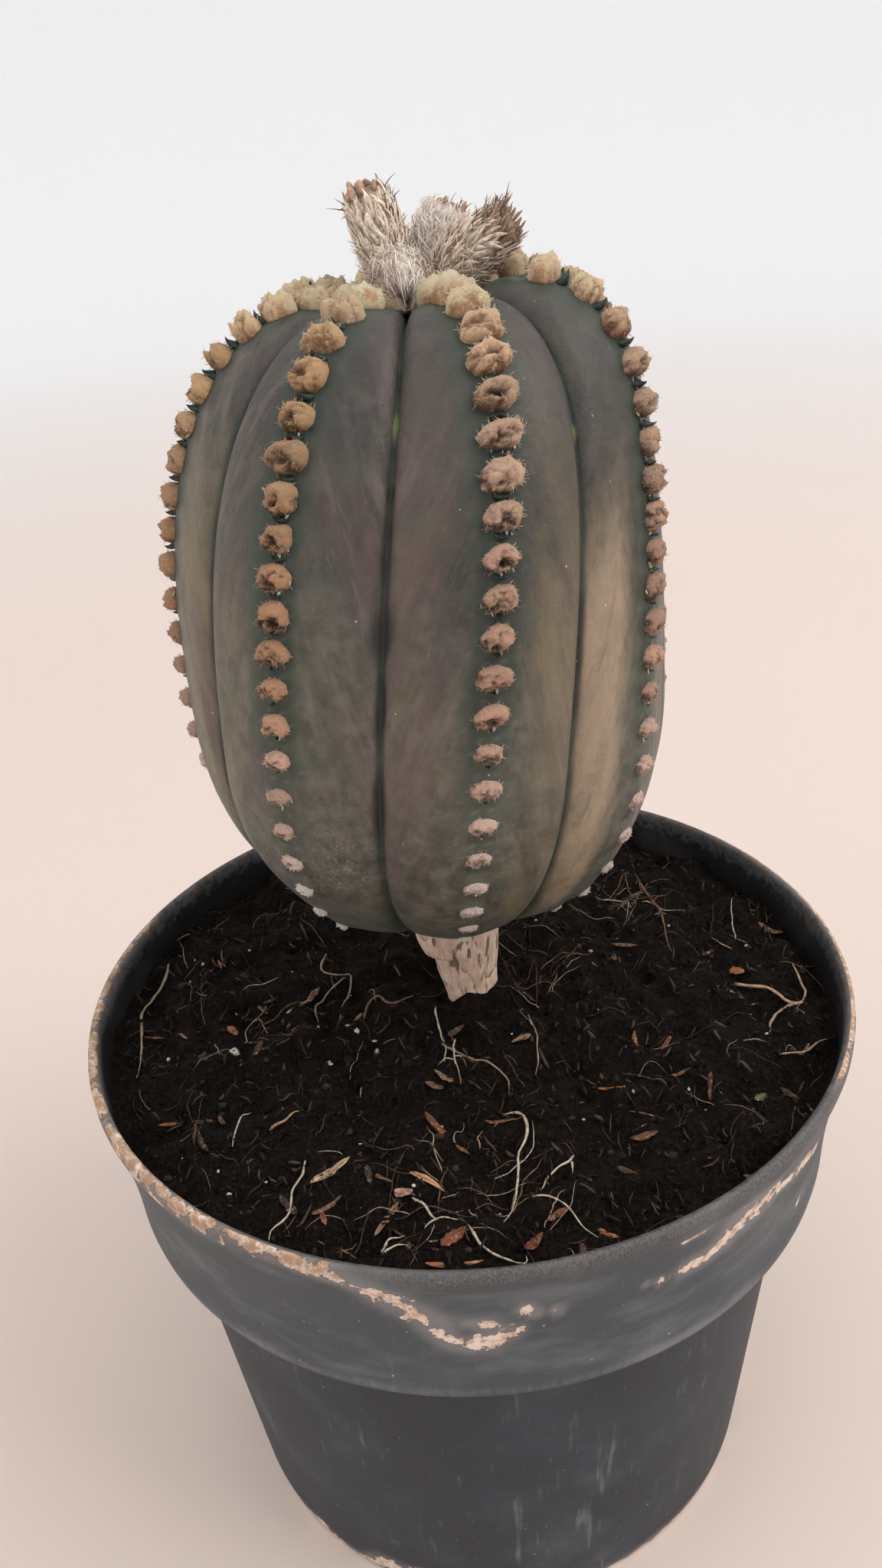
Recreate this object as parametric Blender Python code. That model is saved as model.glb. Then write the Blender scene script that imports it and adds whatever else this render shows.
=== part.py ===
"""Potted star cactus: a green eight-ribbed stem with rows of woolly areoles and four dried flowers,
standing on its corky neck in a plastic nursery pot of soil.

Metres, +Z up. The origin is the centre of the pot's underside, and the plant's front looks along -Y.
"""
import math
import random

import bmesh
import bpy
import numpy as np
from mathutils import Vector

for old_object in list(bpy.data.objects):
    bpy.data.objects.remove(old_object, do_unlink=True)

# Clearance that touching pieces keep to each other
SEAT_GAP = 0.0003

# Nursery pot
POT_HEIGHT = 0.1159
RIM_RADIUS = 0.075
BASE_RADIUS = 0.058
WAIST_RADIUS = 0.0656
WAIST_HEIGHT = 0.0815
BAND_RADIUS = 0.0713
BAND_HEIGHT = 0.0826
BEAD_HEIGHT = 0.0045
BEAD_PROUD = 0.0009
LIP_WIDTH = 0.0020
EDGE_ROUND = 0.0007
WALL = 0.0013
FLOOR_UNDERSIDE = 0.0025
FLOOR_TOP = 0.004
FOOT_WIDTH = 0.0048
DRAIN_RADIUS = 0.004
DRAIN_RING = 0.046
DRAIN_COUNT = 8
CENTRE_DRAIN_RADIUS = 0.005
POT_SEGMENTS = 48
RIM_OVAL = 0.0087
RIM_OVAL_AZIMUTH = 0.6

# Soil
SOIL_DROP = 0.009
SOIL_LEVEL = POT_HEIGHT - SOIL_DROP
SOIL_RINGS = 13
SOIL_WAVES = ((0.0009, 310, 60, 0.0), (0.0008, -120, 290, 0.7),
              (0.0006, 720, 260, 1.9), (0.0006, -210, 640, 2.0))
CHIP_COUNT = 20
CHIP_LENGTHS = (0.006, 0.012)
CHIP_WIDTHS = (0.0016, 0.0028)
CHIP_THICKNESS = 0.0016
CHIP_CLEAR_OF_NECK = 0.017

# Corky neck and taproot
NECK_FOOT = Vector((0.0005, 0.0052, SOIL_LEVEL))
NECK_HEAD = Vector((-0.0024, 0.0064, 0.1300 - SEAT_GAP))
ROOT_DEPTH = 0.040
ROOT_DRIFT = 0.001
ROOT_STATIONS = ((1.0, 0.0086), (0.65, 0.0079), (0.30, 0.0064), (0.0, 0.0051),
                 (-0.30, 0.0042), (-0.70, 0.0026), (-1.0, 0.0012))
BORE_OVERRUN = 0.010
NECK_SIDES = 14
NECK_TWIST = 0.15
CORK_RIDGE = 0.0005

# Green stem: its meridian is two quarter superellipses, and the crown's centre is sunk
STEM_RADIUS = 0.0437
STEM_BOTTOM = 0.1300
STEM_WIDEST = 0.1748
STEM_TOP = 0.2461
LOWER_ROUNDNESS = 2.25
UPPER_ROUNDNESS = 3.0
CROWN_DIP = 0.007
CROWN_DIP_RADIUS = 0.0157
STEM_FOOT = Vector((-0.0026, 0.0052, SOIL_LEVEL))
STEM_LEAN = Vector((0.0077, 0.051))
STEM_BOW = -0.0013
CROWN_TILT = Vector((0.0415, 0.0201))
RIB_COUNT = 8
CREST_AZIMUTHS = [math.radians(a) for a in (-83.0, -31.8, 12.5, 55.9, 100.2, 144.4, 188.6, 232.8)]
CREST_TWISTS = (2.9, 1.9, 2.9, 3.4, 2.8, 2.8, 2.8, 2.8)
CREST_SWELLS = (0.0, 0.0, 0.0, 0.0020, 0.0010, 0.0, 0.0, 0.0)
SWELL_ARC = 0.034
SWELL_REACH = 0.016
RIB_SAG = 0.0011
FURROW_DEPTH = 0.0021
CROWN_FURROW_EXTRA = 0.0022
CROWN_FURROW_REACH = 0.035
FURROW_SHARE = 0.075
FURROW_FADE_RADIUS = 0.005
SLOPE_STEP = 0.0006
STEM_ROWS = 25
RIB_COLUMNS = (0.0, 0.18, 0.34, 0.435, 0.5, 0.565, 0.66, 0.82)

# Areoles: each rib's arc length to its nth one as a sum of powers of n, and the run of their sizes
AREOLE_RUNS = (
    (0.00572, 0.005306, 0.0000411, 0.0),
    (0.00265, 0.006932, -0.0001337, 0.00000485),
    (0.00362, 0.004939, 0.0000334, 0.0),
    (0.00090, 0.007949, -0.0002502, 0.00000801),
    (0.00730, 0.005400, 0.0000300, 0.0),
    (0.00590, 0.005650, 0.0000220, 0.0),
    (0.00660, 0.005300, 0.0000380, 0.0),
    (0.00430, 0.005700, 0.0000200, 0.0),
)
FIRST_AREOLE = 0.005
LAST_AREOLE = 0.141
SIZE_ARCS = (0.0, 0.030, 0.050, 0.085, 0.105, 0.118, 0.133, 0.150)
TUFT_WIDTHS = (0.0062, 0.0059, 0.0052, 0.0049, 0.0042, 0.0033, 0.0021, 0.0018)
TUFT_LENGTHS = (0.0052, 0.0052, 0.0045, 0.0036, 0.0029, 0.0023, 0.0018, 0.0016)
TUFT_HEIGHTS = (0.0030, 0.0029, 0.0024, 0.0019, 0.0014, 0.0012, 0.0010, 0.0009)
TUFT_SIDES = 5
TUFT_SINK = 0.0007
TUFT_ROOT_SHARE = 0.92
TUFT_RIM_SHARE = 0.86
TUFT_RIM_HEIGHT = 0.9
PIT_HEIGHT = 0.55
PIT_SHIFT = 0.25
SCALE_LENGTH = 0.0021
SCALE_HALF_WIDTH = 0.0008
SCALE_ARCS = (0.016, 0.056)
FLOWER_CLEARANCE = 0.0011

# Dried flowers: base, bend and tip of each one's axis, its girth and how it closes at the tip
FLOWERS = {
    "left": ((-0.0036, 0.0180, 0.2392), (-0.0056, 0.0178, 0.2500), (-0.0084, 0.0175, 0.2585), 0.0037, 0.70),
    "middle": ((0.0016, 0.0208, 0.2400), (0.0030, 0.0212, 0.2490), (0.0066, 0.0222, 0.2552), 0.0046, 0.60),
    "right": ((0.0038, 0.0128, 0.2405), (0.0058, 0.0118, 0.2482), (0.0160, 0.0095, 0.2513), 0.0045, 0.75),
    "front": ((-0.0034, 0.0122, 0.2408), (-0.0035, 0.0084, 0.2474), (-0.0022, 0.0012, 0.2426), 0.0043, 0.40),
}
FLOWER_FOOT = 0.62
FLOWER_FULL_SHARE = 0.55
FLOWER_CLOSING_SHARE = 0.60
FLOWER_SIDES = 8
FLOWER_RINGS = 7
BRACT_ROWS = 4
BRACTS_IN_ROW = 5
BRACT_SHARES = (0.38, 0.96)
BRACT_LENGTH = 0.0030
BRACT_RADIUS = 0.0007
BRACT_SPREAD = 0.30


def material(name, colour, roughness):
    """A plain matt or satin finish in one colour."""
    made = bpy.data.materials.new(name)
    made.use_nodes = True
    shader = made.node_tree.nodes["Principled BSDF"]
    shader.inputs["Base Color"].default_value = (*colour, 1.0)
    shader.inputs["Roughness"].default_value = roughness
    shader.inputs["Metallic"].default_value = 0.0
    return made


def add_object(name, mesh, finish=None):
    """Links a mesh into the scene as an object at the origin."""
    made = bpy.data.objects.new(name, mesh)
    bpy.context.scene.collection.objects.link(made)
    if finish is not None:
        mesh.materials.append(finish)
    return made


def closed_mesh(name, points, faces):
    """A mesh from points and faces, with its normals turned outwards."""
    mesh = bpy.data.meshes.new(name)
    mesh.from_pydata([tuple(p) for p in points], [], faces)
    work = bmesh.new()
    work.from_mesh(mesh)
    bmesh.ops.recalc_face_normals(work, faces=work.faces)
    work.to_mesh(mesh)
    work.free()
    return mesh


def ring_faces(rings, sides):
    """Quads between successive rings of points, and a fan of one face over each end ring."""
    faces = []
    for ring in range(rings - 1):
        for side in range(sides):
            after = (side + 1) % sides
            low = ring * sides
            faces.append((low + side, low + after, low + sides + after, low + sides + side))
    faces.append(tuple(range(sides - 1, -1, -1)))
    faces.append(tuple(range((rings - 1) * sides, rings * sides)))
    return faces


def apply_boolean(target, operation, other=None, collection=None):
    """Cuts or joins another object, or a whole collection, and keeps the result in the target's mesh."""
    modifier = target.modifiers.new("join", "BOOLEAN")
    modifier.operation = operation
    modifier.solver = "EXACT"
    if collection is not None:
        modifier.operand_type = "COLLECTION"
        modifier.collection = collection
    else:
        modifier.object = other
    graph = bpy.context.evaluated_depsgraph_get()
    result = bpy.data.meshes.new_from_object(target.evaluated_get(graph))
    target.modifiers.remove(modifier)
    old_mesh = target.data
    target.data = result
    bpy.data.meshes.remove(old_mesh)
    spent = list(collection.objects) if collection is not None else [other]
    for item in spent:
        bpy.data.objects.remove(item, do_unlink=True)
    if collection is not None:
        bpy.data.collections.remove(collection)


def gather(name, meshes):
    """A collection that holds one object for each mesh, ready to be joined to something."""
    collection = bpy.data.collections.new(name)
    bpy.context.scene.collection.children.link(collection)
    for number, mesh in enumerate(meshes):
        collection.objects.link(bpy.data.objects.new(f"{name}_{number}", mesh))
    return collection


def drop_scraps(target):
    """Keeps only the largest connected body of a mesh."""
    work = bmesh.new()
    work.from_mesh(target.data)
    unseen = set(work.verts)
    bodies = []
    while unseen:
        stack = [unseen.pop()]
        body = set(stack)
        while stack:
            for edge in stack.pop().link_edges:
                for vertex in edge.verts:
                    if vertex in unseen:
                        unseen.remove(vertex)
                        body.add(vertex)
                        stack.append(vertex)
        bodies.append(body)
    largest = max(bodies, key=len)
    bmesh.ops.delete(work, geom=[v for v in work.verts if v not in largest], context="VERTS")
    work.to_mesh(target.data)
    work.free()


def pot_profile():
    """Closed outline of the pot's wall, as radius and height, up the outside and down the inside."""
    bead_low = POT_HEIGHT - BEAD_HEIGHT
    outside = [
        (BASE_RADIUS - EDGE_ROUND, 0.0),
        (BASE_RADIUS, EDGE_ROUND),
        (WAIST_RADIUS, WAIST_HEIGHT),
        (BAND_RADIUS - EDGE_ROUND, BAND_HEIGHT - EDGE_ROUND / 2),
        (BAND_RADIUS, BAND_HEIGHT + EDGE_ROUND / 2),
        (RIM_RADIUS - BEAD_PROUD, bead_low),
        (RIM_RADIUS, bead_low + BEAD_PROUD),
        (RIM_RADIUS, POT_HEIGHT - EDGE_ROUND),
        (RIM_RADIUS - EDGE_ROUND, POT_HEIGHT),
        (RIM_RADIUS - LIP_WIDTH + EDGE_ROUND, POT_HEIGHT),
        (RIM_RADIUS - LIP_WIDTH, POT_HEIGHT - EDGE_ROUND),
    ]
    inside = [
        (RIM_RADIUS - BEAD_PROUD - WALL, bead_low),
        (BAND_RADIUS - WALL, BAND_HEIGHT + WALL),
        (WAIST_RADIUS - WALL, WAIST_HEIGHT + WALL),
        (BASE_RADIUS - WALL, FLOOR_TOP + EDGE_ROUND),
        (BASE_RADIUS - WALL - EDGE_ROUND, FLOOR_TOP),
        (CENTRE_DRAIN_RADIUS, FLOOR_TOP),
        (CENTRE_DRAIN_RADIUS, FLOOR_UNDERSIDE),
        (BASE_RADIUS - FOOT_WIDTH - EDGE_ROUND, FLOOR_UNDERSIDE),
        (BASE_RADIUS - FOOT_WIDTH, 0.0),
    ]
    return outside, inside


def build_pot():
    """Spins the outline once round the axis, drills the drain holes and draws the rim slightly oval."""
    outside, inside = pot_profile()
    work = bmesh.new()
    points = [work.verts.new((radius, 0.0, height)) for radius, height in outside + inside]
    loop = [work.edges.new((a, b)) for a, b in zip(points, points[1:] + points[:1])]
    bmesh.ops.spin(work, geom=loop, cent=(0, 0, 0), axis=(0, 0, 1), angle=math.tau,
                   steps=POT_SEGMENTS, use_merge=True, use_duplicate=False)
    bmesh.ops.remove_doubles(work, verts=work.verts, dist=0.00001)
    bmesh.ops.recalc_face_normals(work, faces=work.faces)
    mesh = bpy.data.meshes.new("pot")
    work.to_mesh(mesh)
    work.free()
    pot = add_object("pot", mesh)
    drills = []
    for number in range(DRAIN_COUNT):
        angle = math.tau * (number + 0.5) / DRAIN_COUNT
        work = bmesh.new()
        bmesh.ops.create_cone(work, cap_ends=True, segments=8, radius1=DRAIN_RADIUS, radius2=DRAIN_RADIUS,
                              depth=0.02)
        bmesh.ops.translate(work, verts=work.verts,
                            vec=(DRAIN_RING * math.cos(angle), DRAIN_RING * math.sin(angle), FLOOR_TOP))
        drill = bpy.data.meshes.new("drill")
        work.to_mesh(drill)
        work.free()
        drills.append(drill)
    apply_boolean(pot, "DIFFERENCE", collection=gather("drills", drills))
    for vertex in pot.data.vertices:
        make_oval(vertex)
    pot.data.materials.clear()
    pot.data.materials.append(material("slate plastic", (0.045, 0.056, 0.063), 0.55))
    pot.data.shade_smooth()
    pot.data.set_sharp_from_angle(angle=math.radians(35))
    return pot


def make_oval(vertex):
    """Stretches a point of the pot or soil with its height, so that the rim is a slight oval."""
    angle = math.atan2(vertex.co.y, vertex.co.x)
    stretch = RIM_OVAL * math.cos(2 * (angle - RIM_OVAL_AZIMUTH)) * vertex.co.z / POT_HEIGHT
    vertex.co.x *= 1 + stretch
    vertex.co.y *= 1 + stretch


def soil_height(x, y):
    """Level of the loose soil: crossing waves, each with its size, turns along x and y, and shift."""
    return SOIL_LEVEL + sum(size * math.sin(x * along + y * across + shift)
                            for size, along, across, shift in SOIL_WAVES)


def build_soil():
    """Fills the pot 0.3 mm clear of its walls, lays bark chips on the top and bores the root's hole."""
    _, inside = pot_profile()
    rim_side, *wall = [(radius - SEAT_GAP, height + SEAT_GAP) for radius, height in inside[:5]]
    rise = (SOIL_LEVEL - wall[0][1]) / (rim_side[1] - wall[0][1])
    edge = wall[0][0] + rise * (rim_side[0] - wall[0][0])
    rings = [(edge * (ring + 1) / SOIL_RINGS, None) for ring in range(SOIL_RINGS)] + wall
    points = []
    for radius, height in rings:
        for side in range(POT_SEGMENTS):
            angle = math.tau * side / POT_SEGMENTS
            x, y = radius * math.cos(angle), radius * math.sin(angle)
            points.append((x, y, soil_height(x, y) if height is None else height))
    mesh = closed_mesh("soil", points, ring_faces(len(rings), POT_SEGMENTS))
    soil = add_object("soil", mesh)
    apply_boolean(soil, "UNION", collection=gather("chips", bark_chips()))
    apply_boolean(soil, "DIFFERENCE", other=add_object("bore", root_mesh("bore", SEAT_GAP)))
    for vertex in soil.data.vertices:
        make_oval(vertex)
    soil.data.materials.clear()
    soil.data.materials.append(material("dark soil", (0.012, 0.009, 0.008), 0.95))
    return soil


def bark_chips():
    """Small slips of bark lying half sunk in the soil, clear of the neck and of the wall."""
    draw = random.Random(41)
    chips = []
    while len(chips) < CHIP_COUNT:
        reach = math.sqrt(draw.uniform(0.03, 0.70)) * RIM_RADIUS
        angle = draw.uniform(0, math.tau)
        x, y = reach * math.cos(angle), reach * math.sin(angle)
        heading, pitch = draw.uniform(0, math.tau), draw.uniform(-0.18, 0.18)
        length, width = draw.uniform(*CHIP_LENGTHS), draw.uniform(*CHIP_WIDTHS)
        if math.hypot(x - NECK_FOOT.x, y - NECK_FOOT.y) < CHIP_CLEAR_OF_NECK:
            continue
        centre = Vector((x, y, soil_height(x, y) + CHIP_THICKNESS / 4))
        along = Vector((math.cos(heading), math.sin(heading), pitch)) * length / 2
        across = Vector((-math.sin(heading), math.cos(heading), 0)) * width / 2
        thick = Vector((0, 0, CHIP_THICKNESS / 2))
        points = [centre + along * end + across * flank + thick * face
                  for face in (-1, 1) for end, flank in ((-1, -1), (1, -1), (0.7, 1), (-0.8, 1))]
        chips.append(closed_mesh("chip", points, ring_faces(2, 4)))
    return chips


def root_mesh(name, clearance=None):
    """The neck above the soil and the taproot below, as fluted rings along a bent line.

    With a clearance it is the plain bore round them instead, open past the soil's top.
    """
    points = []
    for number, (share, radius) in enumerate(ROOT_STATIONS):
        if share >= 0:
            centre = NECK_FOOT.lerp(NECK_HEAD, share)
        else:
            centre = NECK_FOOT + Vector((ROOT_DRIFT * share, 0, share * ROOT_DEPTH))
        ridges = [radius + CORK_RIDGE, radius - CORK_RIDGE]
        if clearance is not None:
            ridges = [(radius + CORK_RIDGE + clearance) / math.cos(math.pi / NECK_SIDES)] * 2
            if share == 1.0:
                centre = centre + Vector((0, 0, BORE_OVERRUN))
            if share == -1.0:
                centre = centre - Vector((0, 0, clearance))
        for side in range(NECK_SIDES):
            angle = math.tau * side / NECK_SIDES + NECK_TWIST * number
            points.append(centre + Vector((math.cos(angle), math.sin(angle), 0)) * ridges[side % 2])
    return closed_mesh(name, points, ring_faces(len(ROOT_STATIONS), NECK_SIDES))


def build_neck():
    """The bare corky neck between soil and stem, with its taproot."""
    finish = material("corky bark", (0.46, 0.31, 0.20), 0.85)
    return add_object("root_neck", root_mesh("root_neck"), finish)


def stem_outline():
    """Radius, height and arc length of the stem's meridian, from the crown's centre to the underside's."""
    turn = np.linspace(0.0, math.pi / 2, 200)
    upper_radius = STEM_RADIUS * np.sin(turn) ** (2 / UPPER_ROUNDNESS)
    upper_height = STEM_WIDEST + (STEM_TOP - STEM_WIDEST) * np.cos(turn) ** (2 / UPPER_ROUNDNESS)
    upper_height -= CROWN_DIP * np.exp(-(upper_radius / CROWN_DIP_RADIUS) ** 2)
    lower_radius = STEM_RADIUS * np.cos(turn) ** (2 / LOWER_ROUNDNESS)
    lower_height = STEM_WIDEST - (STEM_WIDEST - STEM_BOTTOM) * np.sin(turn) ** (2 / LOWER_ROUNDNESS)
    radius = np.concatenate([upper_radius, lower_radius[1:]])
    height = np.concatenate([upper_height, lower_height[1:]])
    radius[0] = radius[-1] = 0.0
    steps = np.hypot(np.diff(radius), np.diff(height))
    return radius, height, np.concatenate([[0.0], np.cumsum(steps)])


OUTLINE_RADIUS, OUTLINE_HEIGHT, OUTLINE_ARC = stem_outline()
STEM_ARC = float(OUTLINE_ARC[-1])


def stem_point(arc, rib, lift=0.0, furrowed=True):
    """A point of the stem's skin: arc from the crown, rib in crests (halves are furrows), lift off it."""
    arc = min(max(arc, 0.0), STEM_ARC)
    places = [arc, max(arc - SLOPE_STEP, 0.0), min(arc + SLOPE_STEP, STEM_ARC)]
    radius, radius_before, radius_after = (float(r) for r in np.interp(places, OUTLINE_ARC, OUTLINE_RADIUS))
    height, height_before, height_after = (float(h) for h in np.interp(places, OUTLINE_ARC, OUTLINE_HEIGHT))
    fall_r, fall_z = radius_after - radius_before, height_after - height_before
    length = math.hypot(fall_r, fall_z)
    out_r, out_z = -fall_z / length, fall_r / length
    share = rib % 1.0
    depth = 0.0
    if furrowed:
        crown = math.exp(-(arc / CROWN_FURROW_REACH) ** 2)
        groove = FURROW_DEPTH + CROWN_FURROW_EXTRA * crown
        depth = RIB_SAG * math.sin(math.pi * share) ** 2
        depth += groove * math.exp(-((share - 0.5) / FURROW_SHARE) ** 2)
        depth *= radius / (radius + FURROW_FADE_RADIUS)
    first = math.floor(rib) % RIB_COUNT
    second = (first + 1) % RIB_COUNT
    ease = share * share * (3 - 2 * share)
    swell = CREST_SWELLS[first] * (1 - ease) + CREST_SWELLS[second] * ease
    rise = lift - depth + swell * math.exp(-((arc - SWELL_ARC) / SWELL_REACH) ** 2)
    radius += rise * out_r
    height += rise * out_z
    above = height - STEM_WIDEST
    start = CREST_AZIMUTHS[first] + CREST_TWISTS[first] * above
    end = CREST_AZIMUTHS[second] + CREST_TWISTS[second] * above + (math.tau if second == 0 else 0.0)
    azimuth = start + (end - start) * share
    across, away = radius * math.sin(azimuth), -radius * math.cos(azimuth)
    upper = min(max(above / (STEM_TOP - STEM_WIDEST), 0.0), 1.0)
    climb = min(max((height - STEM_BOTTOM) / (STEM_TOP - STEM_BOTTOM), 0.0), 1.0)
    over_soil = height - STEM_FOOT.z
    x = STEM_FOOT.x + STEM_LEAN.x * over_soil + STEM_BOW * math.sin(math.pi * climb) + across
    y = STEM_FOOT.y + STEM_LEAN.y * over_soil + away
    return Vector((x, y, height + upper ** 2 * (CROWN_TILT.x * across + CROWN_TILT.y * away)))


def skin_frame(arc, rib):
    """A crest point with its sideways, downwards and outwards directions."""
    point = stem_point(arc, rib)
    side = (stem_point(arc, rib + 0.02) - stem_point(arc, rib - 0.02)).normalized()
    down = (stem_point(arc + 0.001, rib) - stem_point(arc - 0.001, rib)).normalized()
    out = down.cross(side).normalized()
    if out.dot(stem_point(arc, rib, 0.001) - point) < 0:
        out = -out
    return point, side, down, out


def stem_skin(name, lift, furrowed):
    """The ribbed body as rows of points from crown to underside, with one point at each end."""
    points = [stem_point(0.0, 0.0, lift, furrowed)]
    columns = [rib + share for rib in range(RIB_COUNT) for share in RIB_COLUMNS]
    count = len(columns)
    rows = [STEM_ARC * (row + 0.5) / STEM_ROWS for row in range(STEM_ROWS)]
    for arc in rows:
        points += [stem_point(arc, rib, lift, furrowed) for rib in columns]
    points.append(stem_point(STEM_ARC, 0.0, lift, furrowed))
    last = len(points) - 1
    faces = []
    for side in range(count):
        after = (side + 1) % count
        faces.append((0, 1 + side, 1 + after))
        low = 1 + (STEM_ROWS - 1) * count
        faces.append((last, low + after, low + side))
        for row in range(STEM_ROWS - 1):
            start = 1 + row * count
            a, b, c, d = start + side, start + count + side, start + count + after, start + after
            faces += [(a, b, c), (a, c, d)]
    return closed_mesh(name, points, faces)


def areole_arcs(rib):
    """Arc lengths of a rib's areoles, whose spacing changes slowly from crown to base."""
    arcs = [sum(part * number ** power for power, part in enumerate(AREOLE_RUNS[rib]))
            for number in range(40)]
    return [arc for arc in arcs if FIRST_AREOLE < arc < LAST_AREOLE]


def tuft(arc, rib):
    """One areole: a low woolly cushion with a pit in its middle, rooted in the crest."""
    point, side, down, out = skin_frame(arc, rib)
    width = float(np.interp(arc, SIZE_ARCS, TUFT_WIDTHS)) / 2
    length = float(np.interp(arc, SIZE_ARCS, TUFT_LENGTHS)) / 2
    height = float(np.interp(arc, SIZE_ARCS, TUFT_HEIGHTS))
    points = []
    for reach, lift in ((TUFT_ROOT_SHARE, -TUFT_SINK), (TUFT_RIM_SHARE, height * TUFT_RIM_HEIGHT)):
        for number in range(TUFT_SIDES):
            angle = math.tau * (number + 0.5) / TUFT_SIDES
            points.append(point + side * width * reach * math.cos(angle)
                          + down * length * reach * math.sin(angle) + out * lift)
    points.append(point + out * height * PIT_HEIGHT + down * length * PIT_SHIFT)
    faces = ring_faces(2, TUFT_SIDES)[:-1]
    rim = TUFT_SIDES
    faces += [(rim + n, rim + (n + 1) % TUFT_SIDES, 2 * TUFT_SIDES) for n in range(TUFT_SIDES)]
    return closed_mesh("tuft", points, faces)


def leaf_scale(arc, rib):
    """The small pointed scale that stands under an upper areole."""
    below = float(np.interp(arc, SIZE_ARCS, TUFT_LENGTHS)) / 2
    point, side, down, out = skin_frame(arc + below, rib)
    root = point - out * TUFT_SINK
    points = [root + side * SCALE_HALF_WIDTH, root - side * SCALE_HALF_WIDTH, root + down * SCALE_HALF_WIDTH,
              point + (out + down * 0.25) * SCALE_LENGTH]
    return closed_mesh("scale", points, [(0, 1, 2), (0, 3, 1), (1, 3, 2), (2, 3, 0)])


def flower_axis(flower, share):
    """A point and the direction of a flower's bent axis at a share of its length."""
    base, bend, tip = (Vector(p) for p in FLOWERS[flower][:3])
    point = base * (1 - share) ** 2 + bend * 2 * share * (1 - share) + tip * share ** 2
    heading = (bend - base) * (1 - share) + (tip - bend) * share
    return point, heading.normalized()


def flower_radius(flower, share):
    """Half the flower's thickness: narrow at the base, full past the middle, drawn in at the tip."""
    girth, mouth = FLOWERS[flower][3:]
    swell = math.sin(min(share / FLOWER_FULL_SHARE, 1.0) * math.pi / 2)
    close = max(0.0, share - FLOWER_CLOSING_SHARE) / (1 - FLOWER_CLOSING_SHARE)
    return girth * (FLOWER_FOOT + (1 - FLOWER_FOOT) * swell) * (1 - (1 - mouth) * close ** 2)


def clear_of_flowers(arc, rib):
    """Whether an areole there would stay off the dried flowers."""
    width = float(np.interp(arc, SIZE_ARCS, TUFT_WIDTHS))
    height = float(np.interp(arc, SIZE_ARCS, TUFT_HEIGHTS))
    point, _, _, out = skin_frame(arc, rib)
    middle = point + out * height / 2
    for flower in FLOWERS:
        for step in range(13):
            axis_point, _ = flower_axis(flower, step / 12)
            reach = flower_radius(flower, step / 12) + width / 2 + FLOWER_CLEARANCE
            if (middle - axis_point).length < reach:
                return False
    return True


def build_stem():
    """The ribbed body with its areoles and scales joined on."""
    lumps = []
    for rib in range(RIB_COUNT):
        for arc in areole_arcs(rib):
            if not clear_of_flowers(arc, rib):
                continue
            lumps.append(tuft(arc, rib))
            if SCALE_ARCS[0] < arc < SCALE_ARCS[1]:
                lumps.append(leaf_scale(arc, rib))
    stem = add_object("stem", stem_skin("stem", 0.0, True))
    apply_boolean(stem, "UNION", collection=gather("areoles", lumps))
    stem.data.materials.clear()
    stem.data.materials.append(material("green skin", (0.085, 0.082, 0.068), 0.5))
    return stem


def bract(flower, share, angle):
    """One pointed bract: a three-sided spike rooted in the flower's side and leaning forwards."""
    centre, heading = flower_axis(flower, share)
    across = heading.orthogonal().normalized()
    around = heading.cross(across)
    radial = across * math.cos(angle) + around * math.sin(angle)
    flank = heading.cross(radial)
    direction = heading * math.cos(BRACT_SPREAD) + radial * math.sin(BRACT_SPREAD)
    root = centre + radial * (flower_radius(flower, share) - BRACT_RADIUS)
    points = [root + flank * BRACT_RADIUS, root - flank * BRACT_RADIUS, root + radial * 2 * BRACT_RADIUS,
              root + direction * BRACT_LENGTH]
    return closed_mesh("bract", points, [(0, 1, 2), (0, 3, 1), (1, 3, 2), (2, 3, 0)])


def build_flower(flower, finish):
    """A withered flower tube clad in pointed bracts, its foot cut to the crown it grows from."""
    points = []
    across = None
    for ring in range(FLOWER_RINGS):
        share = ring / (FLOWER_RINGS - 1)
        centre, heading = flower_axis(flower, share)
        if across is None:
            across = heading.orthogonal()
        across = (across - heading * across.dot(heading)).normalized()
        around = heading.cross(across)
        radius = flower_radius(flower, share)
        for side in range(FLOWER_SIDES):
            angle = math.tau * side / FLOWER_SIDES
            points.append(centre + (across * math.cos(angle) + around * math.sin(angle)) * radius)
    mesh = closed_mesh("dried_flower_" + flower, points, ring_faces(FLOWER_RINGS, FLOWER_SIDES))
    made = add_object("dried_flower_" + flower, mesh)
    bracts = []
    for row in range(BRACT_ROWS):
        share = BRACT_SHARES[0] + (BRACT_SHARES[1] - BRACT_SHARES[0]) * row / (BRACT_ROWS - 1)
        for number in range(BRACTS_IN_ROW):
            angle = math.tau * (number + 0.5 * (row % 2)) / BRACTS_IN_ROW
            bracts.append(bract(flower, share, angle))
    apply_boolean(made, "UNION", collection=gather("bracts", bracts))
    crown = add_object("crown", stem_skin("crown", SEAT_GAP, False))
    apply_boolean(made, "DIFFERENCE", other=crown)
    drop_scraps(made)
    made.data.materials.clear()
    made.data.materials.append(finish)
    return made


build_pot()
build_soil()
build_neck()
build_stem()
dry_wool = material("dry flower wool", (0.50, 0.37, 0.27), 0.95)
for flower_name in FLOWERS:
    build_flower(flower_name, dry_wool)
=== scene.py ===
import math

import bpy
import numpy as np
from mathutils import Matrix


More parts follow.
